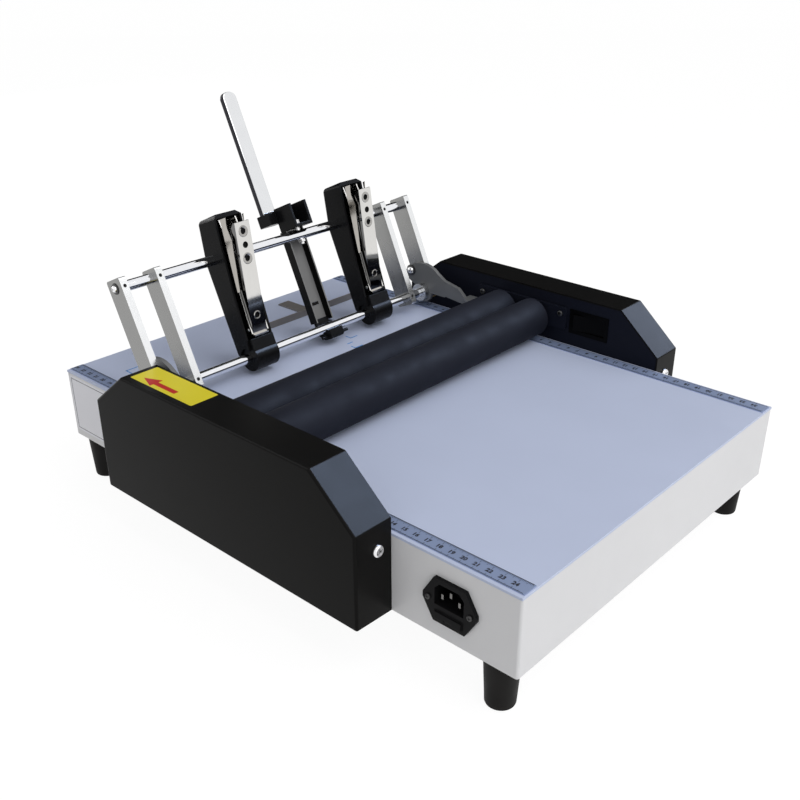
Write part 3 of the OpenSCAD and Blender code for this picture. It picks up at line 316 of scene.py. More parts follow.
for side, sign in sides:
    low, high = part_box(side + "_ruler")
    inner, outer = (high.x, low.x) if sign < 0 else (low.x, high.x)
    y_min = low.y + scale_margin
    y_max = high.y - scale_margin
    ink_levels = (high.z, high.z + ink_height)
    scale = bmesh.new()
    for edge_x, way in ((inner, sign), (outer, -sign)):
        border = rectangle(edge_x + way * border_near, y_min, edge_x + way * border_far, y_max)
        add_slab(scale, border, *ink_levels)
    for step in range(-scale_steps, scale_steps + 1):
        y = fold_y + step * MM
        if not y_min <= y <= y_max:
            continue
        tick_y = (y - tick_width / 2, y + tick_width / 2)
        inner_end = inner + sign * tick_length(step)
        add_slab(scale, rectangle(inner, tick_y[0], inner_end, tick_y[1]), *ink_levels)
        if step % 5 == 0:
            outer_end = outer - sign * tick_length(step) * outer_tick_share
            add_slab(scale, rectangle(outer, tick_y[0], outer_end, tick_y[1]), *ink_levels)
        if step % 10 == 0 and step:
            middle = (inner + sign * numeral_reach, y, high.z + ink_height / 2)
            place = Matrix.Translation(middle) @ Matrix.Rotation(sign * math.pi / 2, 4, "Z")
            add_numeral(scale, str(abs(step) // 10), place)
    as_piece(side + "_ruler_scale", scale, ruler_ink, "base")


# Side frames. Steel plates that stand on the base, one at each end of the rollers, and
# carry the bearing plates and the stapling frame's bushes. Sprayed a bluish black.
inner_black_colour = (0.0085, 0.0098, 0.0165)
inner_black = coated("inner_black", inner_black_colour, gloss=(0.36, 0.42), mottle=0.06,
                     peel=0.05, depth=0.02 * MM, peel_scale=420.0, shine=0.05)
dress(inner_black, "left_side_frame", "right_side_frame", edge=0.25 * MM)


# Side covers. Folded and welded steel hoods, sprayed satin black with a fine texture,
# pushed over the side frames and held by cross-head screws through their end faces.
black_paint_colour = (0.0072, 0.0070, 0.0068)
black_paint = coated("black_paint", black_paint_colour, gloss=(0.28, 0.32), mottle=0.06,
                     peel=0.05, depth=0.02 * MM, peel_scale=420.0, shine=0.04)
dress(black_paint, "left_cover", "right_cover", edge=0)


def drawn(name, colour, gloss, stretch, turn=(0, 0, 0), strength=0.25, depth=0.02 * MM, mottle=0.05):
    """Bare metal with the fine lines that drawing, turning or brushing leaves."""
    material, tree, shader, place = new_finish(name)
    shader.inputs["Metallic"].default_value = 1.0
    lines = grain(tree, place, scale=1.0, detail=4.0, stretch=stretch, turn=turn)
    tint(tree, shader, lines, shade(colour, 1 - mottle), shade(colour, 1 + mottle))
    roughen(tree, shader, grain(tree, place, scale=90.0, detail=5.0), gloss)
    relief(tree, shader, lines, strength, depth)
    return material


# Lines per metre along each axis, for a polish that runs in no direction.
even_lines = (200, 200, 200)
zinc_colour = (0.84, 0.84, 0.85)
screw_zinc = drawn("screw_zinc", zinc_colour, gloss=(0.16, 0.24), stretch=even_lines,
                   strength=0.1, depth=0.004 * MM)
cover_screw_d = 9.2 * MM
cover_screw_x = 186 * MM
cover_screw_z = base_z + 55.8 * MM
cover_screw_twist = 0.5
cover_twist_step = 0.2
cover_low, cover_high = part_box("right_cover")
# A pan head's profile of (radius, height) and its cross recess, in shares of the head's radius.
pan_profile = ((0.90, 0), (1, 0.10), (1, 0.28), (0.93, 0.50), (0.80, 0.64), (0.64, 0.70))
cross_arm = 0.60
cross_half = 0.13
cross_depth = 0.50
cross_draft = 0.72


def facing(centre, normal, twist=0.0):
    """A frame at a point whose Z axis points out along a normal."""
    turn = Vector((0, 0, 1)).rotation_difference(Vector(normal)).to_matrix().to_4x4()
    return Matrix.Translation(centre) @ turn @ Matrix.Rotation(twist, 4, "Z")


def scaled(profile, size, lift=0):
    """A profile in shares of a size, at that size and lifted off its seat."""
    return [(size * radius, lift + size * height) for radius, height in profile]


def add_rings(bm, place, profile, count=32):
    """Lathes a profile of (radius, height) pairs and returns its rings of points."""
    angles = [2 * math.pi * k / count for k in range(count)]
    rings = []
    for radius, height in profile:
        points = [Vector((radius * math.cos(a), radius * math.sin(a), height)) for a in angles]
        rings.append([bm.verts.new(place @ point) for point in points])
    skin(bm, rings)
    return rings


def edges_round(bm, ring):
    """The edges round a closed ring of points, made where there are none yet."""
    pairs = zip(ring, ring[1:] + ring[:1])
    return [bm.edges.get(pair) or bm.edges.new(pair) for pair in pairs]


def add_recess(bm, place, rim, outline, top, deep, draft):
    """Fills a ring's top face round a drive recess, and sinks the recess."""
    mouth = [bm.verts.new(place @ Vector((x, y, top))) for x, y in outline]
    floor = [bm.verts.new(place @ Vector((x * draft, y * draft, top - deep))) for x, y in outline]
    bmesh.ops.triangle_fill(bm, use_beauty=True, edges=edges_round(bm, rim) + edges_round(bm, mouth))
    skin(bm, (mouth, floor))
    bm.faces.new(floor)


def cross_outline(arm, half):
    """Outline of a cross-head recess, a quarter at a time."""
    quarter = ((arm, -half), (arm, half), (half, half))
    points = []
    for c, s in ((1, 0), (0, 1), (-1, 0), (0, -1)):
        points += [(x * c - y * s, x * s + y * c) for x, y in quarter]
    return points


def add_pan_screw(bm, centre, normal, diameter, twist):
    """A pan-head screw with a cross recess, seated on a face."""
    r = diameter / 2
    place = facing(centre, normal, twist)
    rings = add_rings(bm, place, scaled(pan_profile, r))
    bm.faces.new(rings[0][::-1])
    top = r * pan_profile[-1][1]
    cross = cross_outline(r * cross_arm, r * cross_half)
    add_recess(bm, place, rings[-1], cross, top, r * cross_depth, cross_draft)


for side, sign in sides:
    screws = bmesh.new()
    twist = cover_screw_twist + sign * cover_twist_step
    for y, way in ((cover_low.y, -1), (cover_high.y, 1)):
        spot = (sign * cover_screw_x, y, cover_screw_z)
        add_pan_screw(screws, spot, (0, way, 0), cover_screw_d, twist)
    as_piece(side + "_cover_screws", screws, screw_zinc, "base")


# Bearing plates. Steel plates with the bores that the roller journals turn in,
# sprayed like the side frames and held to their inner faces by black screws.
dress(inner_black, "left_bearing_plate", "right_bearing_plate", edge=0.25 * MM)

screw_black_colour = (0.012, 0.012, 0.013)
screw_black = coated("screw_black", screw_black_colour, gloss=(0.28, 0.40), mottle=0.1,
                     peel=0.1, depth=0.02 * MM, shine=0.6)
bearing_screw_d = 5.5 * MM
bearing_screw_inset = 6 * MM
bearing_screw_twist = 0.4
bearing_screws = bmesh.new()
for side, sign in sides:
    low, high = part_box(side + "_bearing_plate")
    inner_x = high.x if sign < 0 else low.x
    for y in (low.y + bearing_screw_inset, high.y - bearing_screw_inset):
        spot = (inner_x, y, high.z - bearing_screw_inset)
        add_pan_screw(bearing_screws, spot, (-sign, 0, 0), bearing_screw_d, bearing_screw_twist)
as_piece("bearing_screws", bearing_screws, screw_black, "base")


# Feed-direction sticker. A yellow film with a plain red arrow printed on it,
# stuck on the flat top of the left cover.
film_yellow = (0.74, 0.64, 0.030)
arrow_red = (0.48, 0.010, 0.008)
sticker_yellow = coated("sticker_yellow", film_yellow, gloss=(0.34, 0.42), mottle=0.02,
                        peel=0.03, depth=0.01 * MM, peel_scale=300.0, shine=0.3)
sticker_red = coated("sticker_red", arrow_red, gloss=(0.34, 0.42), mottle=0.04,
                     peel=0.03, depth=0.01 * MM, peel_scale=300.0, shine=0.3)
film_top = cover_high.z + 0.12 * MM
# The film's opposite corners and the arrow's outline, in millimetres.
sticker_box = (-199.5, 26.5, -174.5, 101.0)
sticker_corner = 1.2 * MM
arrow_points = ((-195.4, 52), (-191.0, 52), (-191.0, 77), (-186.8, 77), (-193.2, 92), (-198.6, 77),
                (-195.4, 77))


def rounded_box(x0, y0, x1, y1, r, steps=5):
    """Outline of a rectangle with rounded corners."""
    corners = ((x1 - r, y1 - r, 0), (x0 + r, y1 - r, 90), (x0 + r, y0 + r, 180), (x1 - r, y0 + r, 270))
    outline = []
    for centre_x, centre_y, start in corners:
        for k in range(steps + 1):
            angle = math.radians(start + 90 * k / steps)
            outline.append((centre_x + r * math.cos(angle), centre_y + r * math.sin(angle)))
    return outline


sticker = bmesh.new()
film_outline = rounded_box(*(v * MM for v in sticker_box), sticker_corner)
add_slab(sticker, film_outline, cover_high.z, film_top)
as_piece("feed_sticker", sticker, sticker_yellow, "base")
arrow = bmesh.new()
add_slab(arrow, [(x * MM, y * MM) for x, y in arrow_points], film_top, film_top + ink_height)
as_piece("feed_arrow", arrow, sticker_red, "base")


# Rating plate. A bare satin foil plate with a thin printed rim,
# stuck on the left wall of the base behind the cover.
foil_colour = (0.84, 0.84, 0.89)
rim_grey = (0.10, 0.10, 0.12)
plate_foil = coated("plate_foil", foil_colour, gloss=(0.30, 0.38), mottle=0.02,
                    peel=0.03, depth=0.01 * MM, peel_scale=300.0)
plate_grey = coated("plate_grey", rim_grey, gloss=(0.35, 0.45), mottle=0.05,
                    peel=0.03, depth=0.01 * MM, peel_scale=300.0)
plate_box = (150 * MM, base_z + 6 * MM, 244 * MM, base_z + 59 * MM)
plate_corner = 1.5 * MM
plate_t = 0.25 * MM
rim_inset = 2 * MM
rim_line = 0.6 * MM
rim_top = plate_t + 0.07 * MM
wall_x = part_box("base_shell")[0].x
on_left_wall = Matrix(((0, 0, -1, wall_x), (1, 0, 0, 0), (0, 1, 0, 0), (0, 0, 0, 1)))

plate = bmesh.new()
add_slab(plate, rounded_box(*plate_box, plate_corner), 0, plate_t, on_left_wall)
as_piece("rating_plate", plate, plate_foil, "base")
y0, z0 = (edge + rim_inset for edge in plate_box[:2])
y1, z1 = (edge - rim_inset for edge in plate_box[2:])
rim = bmesh.new()
for corners in ((y0, z0, y1, z0 + rim_line), (y0, z1 - rim_line, y1, z1),
                (y0, z0 + rim_line, y0 + rim_line, z1 - rim_line),
                (y1 - rim_line, z0 + rim_line, y1, z1 - rim_line)):
    add_slab(rim, rectangle(*corners), plate_t, rim_top, on_left_wall)
as_piece("rating_plate_rim", rim, plate_grey, "base")


# Fold rollers. Ground black rubber sleeves on turned steel shafts; the rubber has
# a faint bluish bloom and fine rings from the grinding wheel.
sleeve_dark = (0.0098, 0.0108, 0.0165)
sleeve_light = (0.0145, 0.0160, 0.0240)
sleeve_shine = 0.05
sleeve_rubber, tree, shader, place = new_finish("sleeve_rubber")
shader.inputs["Specular IOR Level"].default_value = sleeve_shine
bloom = grain(tree, place, scale=30.0, detail=5.0, stretch=(0.4, 1, 1))
tint(tree, shader, bloom, sleeve_dark, sleeve_light)
roughen(tree, shader, grain(tree, place, scale=45.0, detail=4.0), gloss=(0.56, 0.74))
grinding = grain(tree, place, scale=1.0, detail=3.0, stretch=(2600, 500, 500))
relief(tree, shader, grinding, strength=0.22, depth=0.06 * MM)
dress(sleeve_rubber, "front_roller_sleeve", "rear_roller_sleeve", edge=0.6 * MM)

steel_colour = (0.60, 0.61, 0.62)
shaft_steel = drawn("shaft_steel", steel_colour, gloss=(0.20, 0.34), stretch=(2600, 60, 60))
dress(shaft_steel, "front_roller_shaft", "rear_roller_shaft", edge=0.3 * MM)


# Drive and knife, under the tables and inside the left cover: steel gears, a natural acetal
# idler on its stud, a zinc-plated gear motor, the steel folding knife with its guides, carrier
# and solenoid, and the control board.
dress(shaft_steel, "front_roller_gear", "rear_roller_gear", "drive_pinion", "idler_stud",
      "folding_knife", "knife_guides", "knife_plunger", edge=0.3 * MM)
motor_colour = (0.52, 0.53, 0.54)
motor_steel = drawn("motor_steel", motor_colour, gloss=(0.30, 0.42), stretch=(300, 300, 300))
dress(motor_steel, "drive_motor", "knife_solenoid", "knife_carrier", edge=0.4 * MM)
acetal_colour = (0.72, 0.69, 0.60)
idler_acetal = coated("idler_acetal", acetal_colour, gloss=(0.36, 0.46), mottle=0.03,
                      peel=0.06, depth=0.03 * MM)
dress(idler_acetal, "idler_gear", edge=0.2 * MM)
board_colour = (0.022, 0.12, 0.05)
board_green = coated("board_green", board_colour, gloss=(0.30, 0.45), mottle=0.12,
                     peel=0.10, depth=0.04 * MM)
dress(board_green, "control_board", edge=0.2 * MM)


# Power inlet and switch. Black glass-filled mouldings with a fine spark texture: a flanged
# socket with three bright blades over a fuse drawer, and a rocker in the right wall's window.
moulding_colour = (0.0085, 0.0085, 0.0092)
black_moulding = coated("black_moulding", moulding_colour, gloss=(0.30, 0.42), mottle=0.12,
                        peel=0.10, depth=0.03 * MM, peel_scale=600.0, shine=0.05)
dress(black_moulding, "power_inlet", "fuse_drawer", edge=0.35 * MM)
switch_colour = (0.0022, 0.0022, 0.0024)
switch_black = coated("switch_black", switch_colour, gloss=(0.22, 0.28), mottle=0.10,
                      peel=0.04, depth=0.01 * MM, peel_scale=500.0, shine=0.04)
dress(switch_black, "power_switch", "switch_rocker", edge=0.3 * MM)
contact_colour = (0.17, 0.165, 0.16)
contact_bright = drawn("contact_bright", contact_colour, gloss=(0.16, 0.26), stretch=(60, 300, 300))
dress(contact_bright, "inlet_pins", "fuse", edge=0.3 * MM)

inlet_screw_d = 4.2 * MM
inlet_screw_reach = 17.2 * MM
inlet_screw_twist = 0.3
inlet_z = base_z + 31 * MM
flange_low, flange_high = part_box("power_inlet")
inlet_y = (flange_low.y + flange_high.y) / 2
inlet_screws = bmesh.new()
for way in (-1, 1):
    spot = (flange_low.x, inlet_y + way * inlet_screw_reach, inlet_z)
    add_pan_screw(inlet_screws, spot, (-1, 0, 0), inlet_screw_d, inlet_screw_twist)
as_piece("inlet_screws", inlet_screws, screw_black, "base")


# Rear stop. A pressed steel fence in grey enamel,
# whose tongue slides in the rear table's slot.
stop_grey = (0.17, 0.16, 0.155)
stop_enamel = coated("stop_enamel", stop_grey, gloss=(0.30, 0.38), mottle=0.05,
                     peel=0.04, depth=0.02 * MM, peel_scale=300.0)
dress(stop_enamel, "rear_stop", edge=0.25 * MM)


# Stapling frame. Two chromed rods clamped by set screws in four drawn aluminium bars
# that lean back; the lower rod turns in bronze bushes in the side frames.
lean = math.radians(24.5)
shaft_point = Vector((0, 117.6 * MM, base_z + 78.5 * MM))
frame_place = Matrix.Translation(shaft_point) @ Matrix.Rotation(-lean, 4, "X")
frame_turn = (lean, 0, 0)
rod_pitch = 88.4 * MM
rod_colour = (0.84, 0.85, 0.88)
rod_chrome = drawn("rod_chrome", rod_colour, gloss=(0.05, 0.09), stretch=even_lines,
                   strength=0.05, depth=0.002 * MM, mottle=0.02)
dress(rod_chrome, "lower_shaft", "upper_rod", edge=0.4 * MM)
bronze_colour = (0.52, 0.36, 0.16)
bush_bronze = drawn("bush_bronze", bronze_colour, gloss=(0.34, 0.46), stretch=(1200, 200, 200))
dress(bush_bronze, "shaft_bushes", edge=0.3 * MM)

# How far a normal must lean along X before the painted flank shade starts, and over how much it blends in.
flank_shade_start = 0.55
flank_shade_blend = 0.3


def shade_flanks(material, colour, start=flank_shade_start):
    """Paints shade on the sides that face along X: their colour is darkened towards a given shade."""
    tree = material.node_tree
    base_colour = tree.nodes["Principled BSDF"].inputs["Base Color"]
    split = tree.nodes.new("ShaderNodeSeparateXYZ")
    tree.links.new(tree.nodes.new("ShaderNodeTexCoord").outputs["Normal"], split.inputs["Vector"])
    size = tree.nodes.new("ShaderNodeMath")
    size.operation = "ABSOLUTE"
    tree.links.new(split.outputs["X"], size.inputs[0])
    share = tree.nodes.new("ShaderNodeMapRange")
    share.inputs["From Min"].default_value = start
    share.inputs["From Max"].default_value = start + flank_shade_blend
    tree.links.new(size.outputs["Value"], share.inputs["Value"])
    mix = tree.nodes.new("ShaderNodeMix")
    mix.data_type = "RGBA"
    mix.inputs["B"].default_value = (*colour, 1)
    tree.links.new(share.outputs["Result"], mix.inputs["Factor"])
    tree.links.new(base_colour.links[0].from_socket, mix.inputs["A"])
    tree.links.new(mix.outputs["Result"], base_colour)


bar_colour = (0.82, 0.83, 0.84)
# Painted shade: the bars' sides that face along X are darkened to this grey.
bar_flank_shade = (0.28, 0.28, 0.275)
bar_aluminium = drawn("bar_aluminium", bar_colour, gloss=(0.24, 0.30), stretch=(700, 700, 20),
                      turn=frame_turn, strength=0.05, depth=0.002 * MM, mottle=0.02)
shade_flanks(bar_aluminium, bar_flank_shade, start=0.3)
bars = ("left_outer_bar", "right_outer_bar", "left_inner_bar", "right_inner_bar")
dress(bar_aluminium, *bars, edge=0.5 * MM)

bar_half = 10 * MM
set_screw_d = 2.9 * MM
set_screw_sink = 0.7 * MM
# A set screw's profile of (radius, height) and its socket, in shares of its radius.
set_profile = ((1, -1.6), (1, -0.12), (0.88, 0))
set_socket = 0.56
set_socket_depth = 1.0
socket_draft = 0.95


def hexagon(radius):
    """Outline of a hexagon socket."""
    return [(radius * math.cos(math.pi * k / 3), radius * math.sin(math.pi * k / 3)) for k in range(6)]


def add_set_screw(bm, place, diameter):
    """A set screw with a hexagon socket, its head level with the local XY plane."""
    r = diameter / 2
    rings = add_rings(bm, place, scaled(set_profile, r), count=24)
    bm.faces.new(rings[0][::-1])
    add_recess(bm, place, rings[-1], hexagon(r * set_socket), 0, r * set_socket_depth, socket_draft)


set_screws = bmesh.new()
for name in bars:
    low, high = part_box(name)
    for along in (0, rod_pitch):
        head = Matrix.Translation(((low.x + high.x) / 2, set_screw_sink - bar_half, along))
        place = frame_place @ head @ Matrix.Rotation(math.pi / 2, 4, "X")
        add_set_screw(set_screws, place, set_screw_d)
as_piece("bar_set_screws", set_screws, screw_black, "stapling_frame")


# Shaft levers and rod ends. Grey-enamelled steel plates with a bent thumb tab, held on the lower
# rod by set collars. A domed zinc screw on a black washer ties each lever to its outer bar, and
# another closes each end of the upper rod.
lever_grey = (0.14, 0.145, 0.15)
grey_enamel = coated("grey_enamel", lever_grey, gloss=(0.28, 0.36), mottle=0.04,
                     peel=0.04, depth=0.02 * MM, peel_scale=300.0, metal=0.1)
dress(grey_enamel, "left_shaft_lever", "right_shaft_lever", edge=0.25 * MM)
dress(shaft_steel, "shaft_collars", edge=0.3 * MM)

lever_face_x = 158.5 * MM
lever_screw_y = 133.3 * MM
lever_screw_z = base_z + 97.3 * MM
lever_washer_r = 5.6 * MM
lever_head_r = 3.6 * MM
rod_end = frame_place @ Vector((0, 0, rod_pitch))
rod_end_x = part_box("right_outer_bar")[1].x
rod_washer_r = 4.6 * MM
rod_head_r = 2.8 * MM
washer_t = 0.7 * MM
washer_rim = 0.7 * washer_t
washer_top_share = 0.92
# A domed head's profile of (radius, height) and its socket, in shares of the head's radius.
dome_profile = ((1, 0), (0.98, 0.16), (0.88, 0.38), (0.70, 0.56), (0.48, 0.66))
dome_socket = 0.30
dome_socket_depth = 0.4
washer_seats = bmesh.new()
domed_heads = bmesh.new()


def add_domed_screw(centre, normal, washer_r, head_r):
    """A domed head with a hexagon socket on a flat washer."""
    place = facing(centre, normal)
    washer_profile = ((washer_r, 0), (washer_r, washer_rim), (washer_r * washer_top_share, washer_t))
    close_ends(washer_seats, add_rings(washer_seats, place, washer_profile))
    head_profile = scaled(dome_profile, head_r, lift=washer_t)
    head = add_rings(domed_heads, place, head_profile)
    domed_heads.faces.new(head[0][::-1])
    add_recess(domed_heads, place, head[-1], hexagon(head_r * dome_socket), head_profile[-1][1],
               head_r * dome_socket_depth, socket_draft)


for sign in (-1, 1):
    lever_spot = (sign * lever_face_x, lever_screw_y, lever_screw_z)
    add_domed_screw(lever_spot, (-sign, 0, 0), lever_washer_r, lever_head_r)
    rod_spot = (sign * rod_end_x, rod_end.y, rod_end.z)
    add_domed_screw(rod_spot, (sign, 0, 0), rod_washer_r, rod_head_r)
as_piece("screw_washers", washer_seats, screw_black, "stapling_frame")
as_piece("domed_screws", domed_heads, screw_zinc, "stapling_frame")


# Staplers. Glossy black moulded shells and nose blocks on the two rods, with a bright
# chromed magazine channel inside and a steel hinge pin across each.
shell_colour = (0.0065, 0.0065, 0.0070)
shell_plastic = coated("shell_plastic", shell_colour, gloss=(0.22, 0.30), mottle=0.08,
                       peel=0.04, depth=0.02 * MM, peel_scale=400.0, shine=0.06)
dress(shell_plastic, "left_stapler_shell", "right_stapler_shell", edge=0)
dress(shell_plastic, "left_stapler_nose", "right_stapler_nose", edge=0.6 * MM)
# Lines per metre, for a polish that runs up the staplers.
polish_lines = (150, 150, 20)
channel_colour = (0.88, 0.87, 0.85)
channel_chrome = drawn("channel_chrome", channel_colour, gloss=(0.06, 0.11), stretch=polish_lines,
                       turn=frame_turn, strength=0.05, depth=0.002 * MM, mottle=0.02)
dress(channel_chrome, "left_magazine", "right_magazine", edge=0.2 * MM)
dress(shaft_steel, "hinge_pins", edge=0.3 * MM)


# Magazine wings. Bright sheet strips folded from the shell's mouth in to the magazine's
# walls, widest near the head, and chromed with the magazine; their colour is painted darker than the
# magazine's, as shade inside the shell's mouth.
wing_shaded_colour = (0.44, 0.42, 0.39)
wing_chrome_shaded = drawn("wing_chrome_shaded", wing_shaded_colour, gloss=(0.10, 0.16), stretch=polish_lines,
                    turn=frame_turn, strength=0.05, depth=0.002 * MM, mottle=0.06)
stapler_places = (("left", -58.25 * MM), ("right", 88.25 * MM))
# Height along the frame, depth at the root and depth at the free edge, in millimetres.
wing_line = (
    (56, -15.7, -16.2), (63, -16.7, -18.2), (75, -18.7, -22.0), (88, -20.9, -25.8), (98, -22.6, -29.2),
    (103, -23.4, -28.6), (108, -24.3, -27.8), (112, -25.0, -28.6), (117, -25.9, -30.6),
)
wing_root_x = 12.2
wing_edge_x = 9.9
wing_sheet = 0.45
root_back = 0.4
edge_back = 0.2


def add_strip(bm, place, sections):
    """A closed strip through cross-sections, whose points are in millimetres."""
    rings = [[bm.verts.new(place @ (MM * Vector(point))) for point in section] for section in sections]
    skin(bm, rings)
    close_ends(bm, rings)


def wing_section(way, along, root, edge):
    """The four corners of a wing's sheet at one height."""
    inner_root = way * (wing_root_x - wing_sheet)
    inner_edge = way * (wing_edge_x - wing_sheet)
    return ((way * wing_root_x, root, along), (way * wing_edge_x, edge, along),
            (inner_edge, edge + edge_back, along), (inner_root, root + root_back, along))


for side, x in stapler_places:
    wings = bmesh.new()
    for way in (-1, 1):
        sections = [wing_section(way, *row) for row in wing_line]
        add_strip(wings, frame_place @ Matrix.Translation((x, 0, 0)), sections)
    as_piece(side + "_magazine_wings", wings, wing_chrome_shaded, "stapling_frame")


# Staple levers. Bright chromed channels on hinge pins, with three rivet holes near the top
# and one near the foot; dished eyelets line all but one. A black strip in each channel is painted shade,
# dark where the holes show the inside.
lever_colour = (0.69, 0.68, 0.66)
# Painted shade: the levers' sides that face along X are darkened to this.
lever_flank_shade = (0.16, 0.16, 0.16)
lever_chrome = drawn("lever_chrome", lever_colour, gloss=(0.05, 0.10), stretch=polish_lines,
                     turn=frame_turn, strength=0.05, depth=0.002 * MM, mottle=0.02)
shade_flanks(lever_chrome, lever_flank_shade)
dress(lever_chrome, "left_staple_lever", "right_staple_lever", edge=0.3 * MM)


def bow_foot(material, start_z, bend):
    """Tilts a pressed sheet's shading a little forward towards its foot, by a bump; the face itself stays
    flat.
    """
    tree = material.node_tree
    split = tree.nodes.new("ShaderNodeSeparateXYZ")
    tree.links.new(tree.nodes.new("ShaderNodeTexCoord").outputs["Object"], split.inputs["Vector"])
    drop = tree.nodes.new("ShaderNodeMath")
    drop.operation = "SUBTRACT"
    drop.use_clamp = True
    drop.inputs[0].default_value = start_z
    tree.links.new(split.outputs["Z"], drop.inputs[1])
    cube = tree.nodes.new("ShaderNodeMath")
    cube.operation = "POWER"
    cube.inputs[1].default_value = 3.0
    tree.links.new(drop.outputs["Value"], cube.inputs[0])
    bow = tree.nodes.new("ShaderNodeBump")
    bow.invert = True
    bow.inputs["Distance"].default_value = bend
    bow.inputs["Strength"].default_value = 1.0
    tree.links.new(cube.outputs["Value"], bow.inputs["Height"])
    normal = tree.nodes["Principled BSDF"].inputs["Normal"]
    tree.links.new(normal.links[0].from_socket, bow.inputs["Normal"])
    tree.links.new(bow.outputs["Normal"], normal)


bow_foot(lever_chrome, start_z=base_z + 158 * MM, bend=17.0)
# The eyelets' colour is darker than the lever's chrome: partly the nickel's own tone, partly painted shade
# for their dished rings.
eyelet_shaded_colour = (0.40, 0.39, 0.375)
eyelet_nickel_shaded = drawn("eyelet_nickel_shaded", eyelet_shaded_colour, gloss=(0.10, 0.16), stretch=even_lines,
                      strength=0.05, depth=0.002 * MM)
lever_tilt = math.radians(16)
pin_y = -7.5 * MM
pin_z = 23 * MM
lever_face = -4.5 * MM
# Height up the lever and outer radius of each eyelet, then the eyelet's profile: steps in from
# the outer edge over its rolled rim, and radii down its throat, with their heights. Millimetres.
eyelets_at = ((84, 4.9), (61.2, 4.9), (12, 3.7))
rolled_rim = ((0, 0), (0.15, 0.30), (0.55, 0.42), (1.0, 0.34))
eyelet_throat = ((2.70, 0.12), (2.50, -0.10), (2.42, -1.1), (2.55, -1.15))
# The painted-shade strip's section and its two ends up the lever, in millimetres.
shade_fill_section = rectangle(-6.4, -3.2, 6.4, -0.6)
shade_fill_ends = (9.5, 91.2)


def prism(section, ends):
    """Cross-sections of a straight strip between two ends."""
    return [[(x, y, along) for x, y in section] for along in ends]


for side, x in stapler_places:
    hinge = frame_place @ Matrix.Translation((x, pin_y, pin_z)) @ Matrix.Rotation(lever_tilt, 4, "X")
    eyelets = bmesh.new()
    for along, outer in eyelets_at:
        spot = hinge @ Matrix.Translation((0, lever_face, along * MM)) @ Matrix.Rotation(math.pi / 2, 4, "X")
        profile = [(outer - step, height) for step, height in rolled_rim] + list(eyelet_throat)
        add_rings(eyelets, spot, scaled(profile, MM), count=40)
    as_piece(side + "_lever_eyelets", eyelets, eyelet_nickel_shaded, side + "_lever")
    shade_fill = bmesh.new()
    add_strip(shade_fill, hinge, prism(shade_fill_section, shade_fill_ends))
    as_piece(side + "_lever_shade_fill", shade_fill, shell_plastic, side + "_lever")


# Handle. An enamelled channel, clipped to the lower rod by a moulded saddle, with a black strip in
# its slot as painted shade; a moulded bracket bolted through the upper rod; and a flat polished bar
# pushed into the bracket's rear socket.
enamel_grey = (0.20, 0.20, 0.20)
# Painted shade: the channel's sides that face along X are darkened to near black.
enamel_flank_shade = (0.004, 0.004, 0.004)
channel_enamel = coated("channel_enamel", enamel_grey, gloss=(0.24, 0.32), mottle=0.05,
                        peel=0.04, depth=0.02 * MM, peel_scale=300.0, shine=0.06)
shade_flanks(channel_enamel, enamel_flank_shade)
dress(channel_enamel, "handle_channel", edge=0.3 * MM)
dress(shell_plastic, "handle_saddle", "handle_bracket", edge=0.6 * MM)
dress(screw_zinc, "bracket_bolt", edge=0.3 * MM)
handle_colour = (0.78, 0.79, 0.805)
# Painted shade: the bar's sides that face along X are darkened to near black.
handle_flank_shade = (0.03, 0.03, 0.035)
bar_chrome = drawn("bar_chrome", handle_colour, gloss=(0.07, 0.12), stretch=polish_lines,
                   turn=frame_turn, strength=0.02, depth=0.001 * MM, mottle=0.02)
shade_flanks(bar_chrome, handle_flank_shade, start=0.2)
dress(bar_chrome, "handle_bar", edge=1.1 * MM)

# The slot's painted-shade strip: its section and its two ends up the channel, in millimetres.
slot_shade_section = rectangle(22.6, 12.2, 33.4, 13.9)
slot_shade_ends = (23.1, 25.9)
slot_shade = bmesh.new()
add_strip(slot_shade, frame_place, prism(slot_shade_section, slot_shade_ends))
as_piece("channel_slot_shade", slot_shade, foot_rubber, "stapling_frame")


# Studio. A wide pale floor under white surroundings that dim towards the rear, a dark card
# behind the machine for its polished metal to mirror, and large soft lamps. Sizes in metres.
floor_half = 30.0
floor_grey = 0.64
floor_roughness = 0.9
floor_shine = 0.1
floor_glow = 1.16
glow_share = 0.80


def stage_sheet(name, corners, material):
    """A flat rectangular sheet that stands round the machine."""
    mesh = bpy.data.meshes.new(name)
    mesh.from_pydata([(x, y, 0) for x, y in rectangle(*corners)], [], [(0, 1, 2, 3)])
    mesh.materials.append(material)
    sheet = bpy.data.objects.new(name, mesh)
    bpy.context.scene.collection.objects.link(sheet)
    return sheet


def seen_as_background(tree):
    """One for rays that come straight from the camera or by way of metal or glass."""
    rays = tree.nodes.new("ShaderNodeLightPath")
    found = rays.outputs["Is Camera Ray"]
    for kind in ("Is Glossy Ray", "Is Transmission Ray"):
        either = tree.nodes.new("ShaderNodeMath")
        either.operation = "MAXIMUM"
        tree.links.new(found, either.inputs[0])
        tree.links.new(rays.outputs[kind], either.inputs[1])
        found = either.outputs["Value"]
    return found


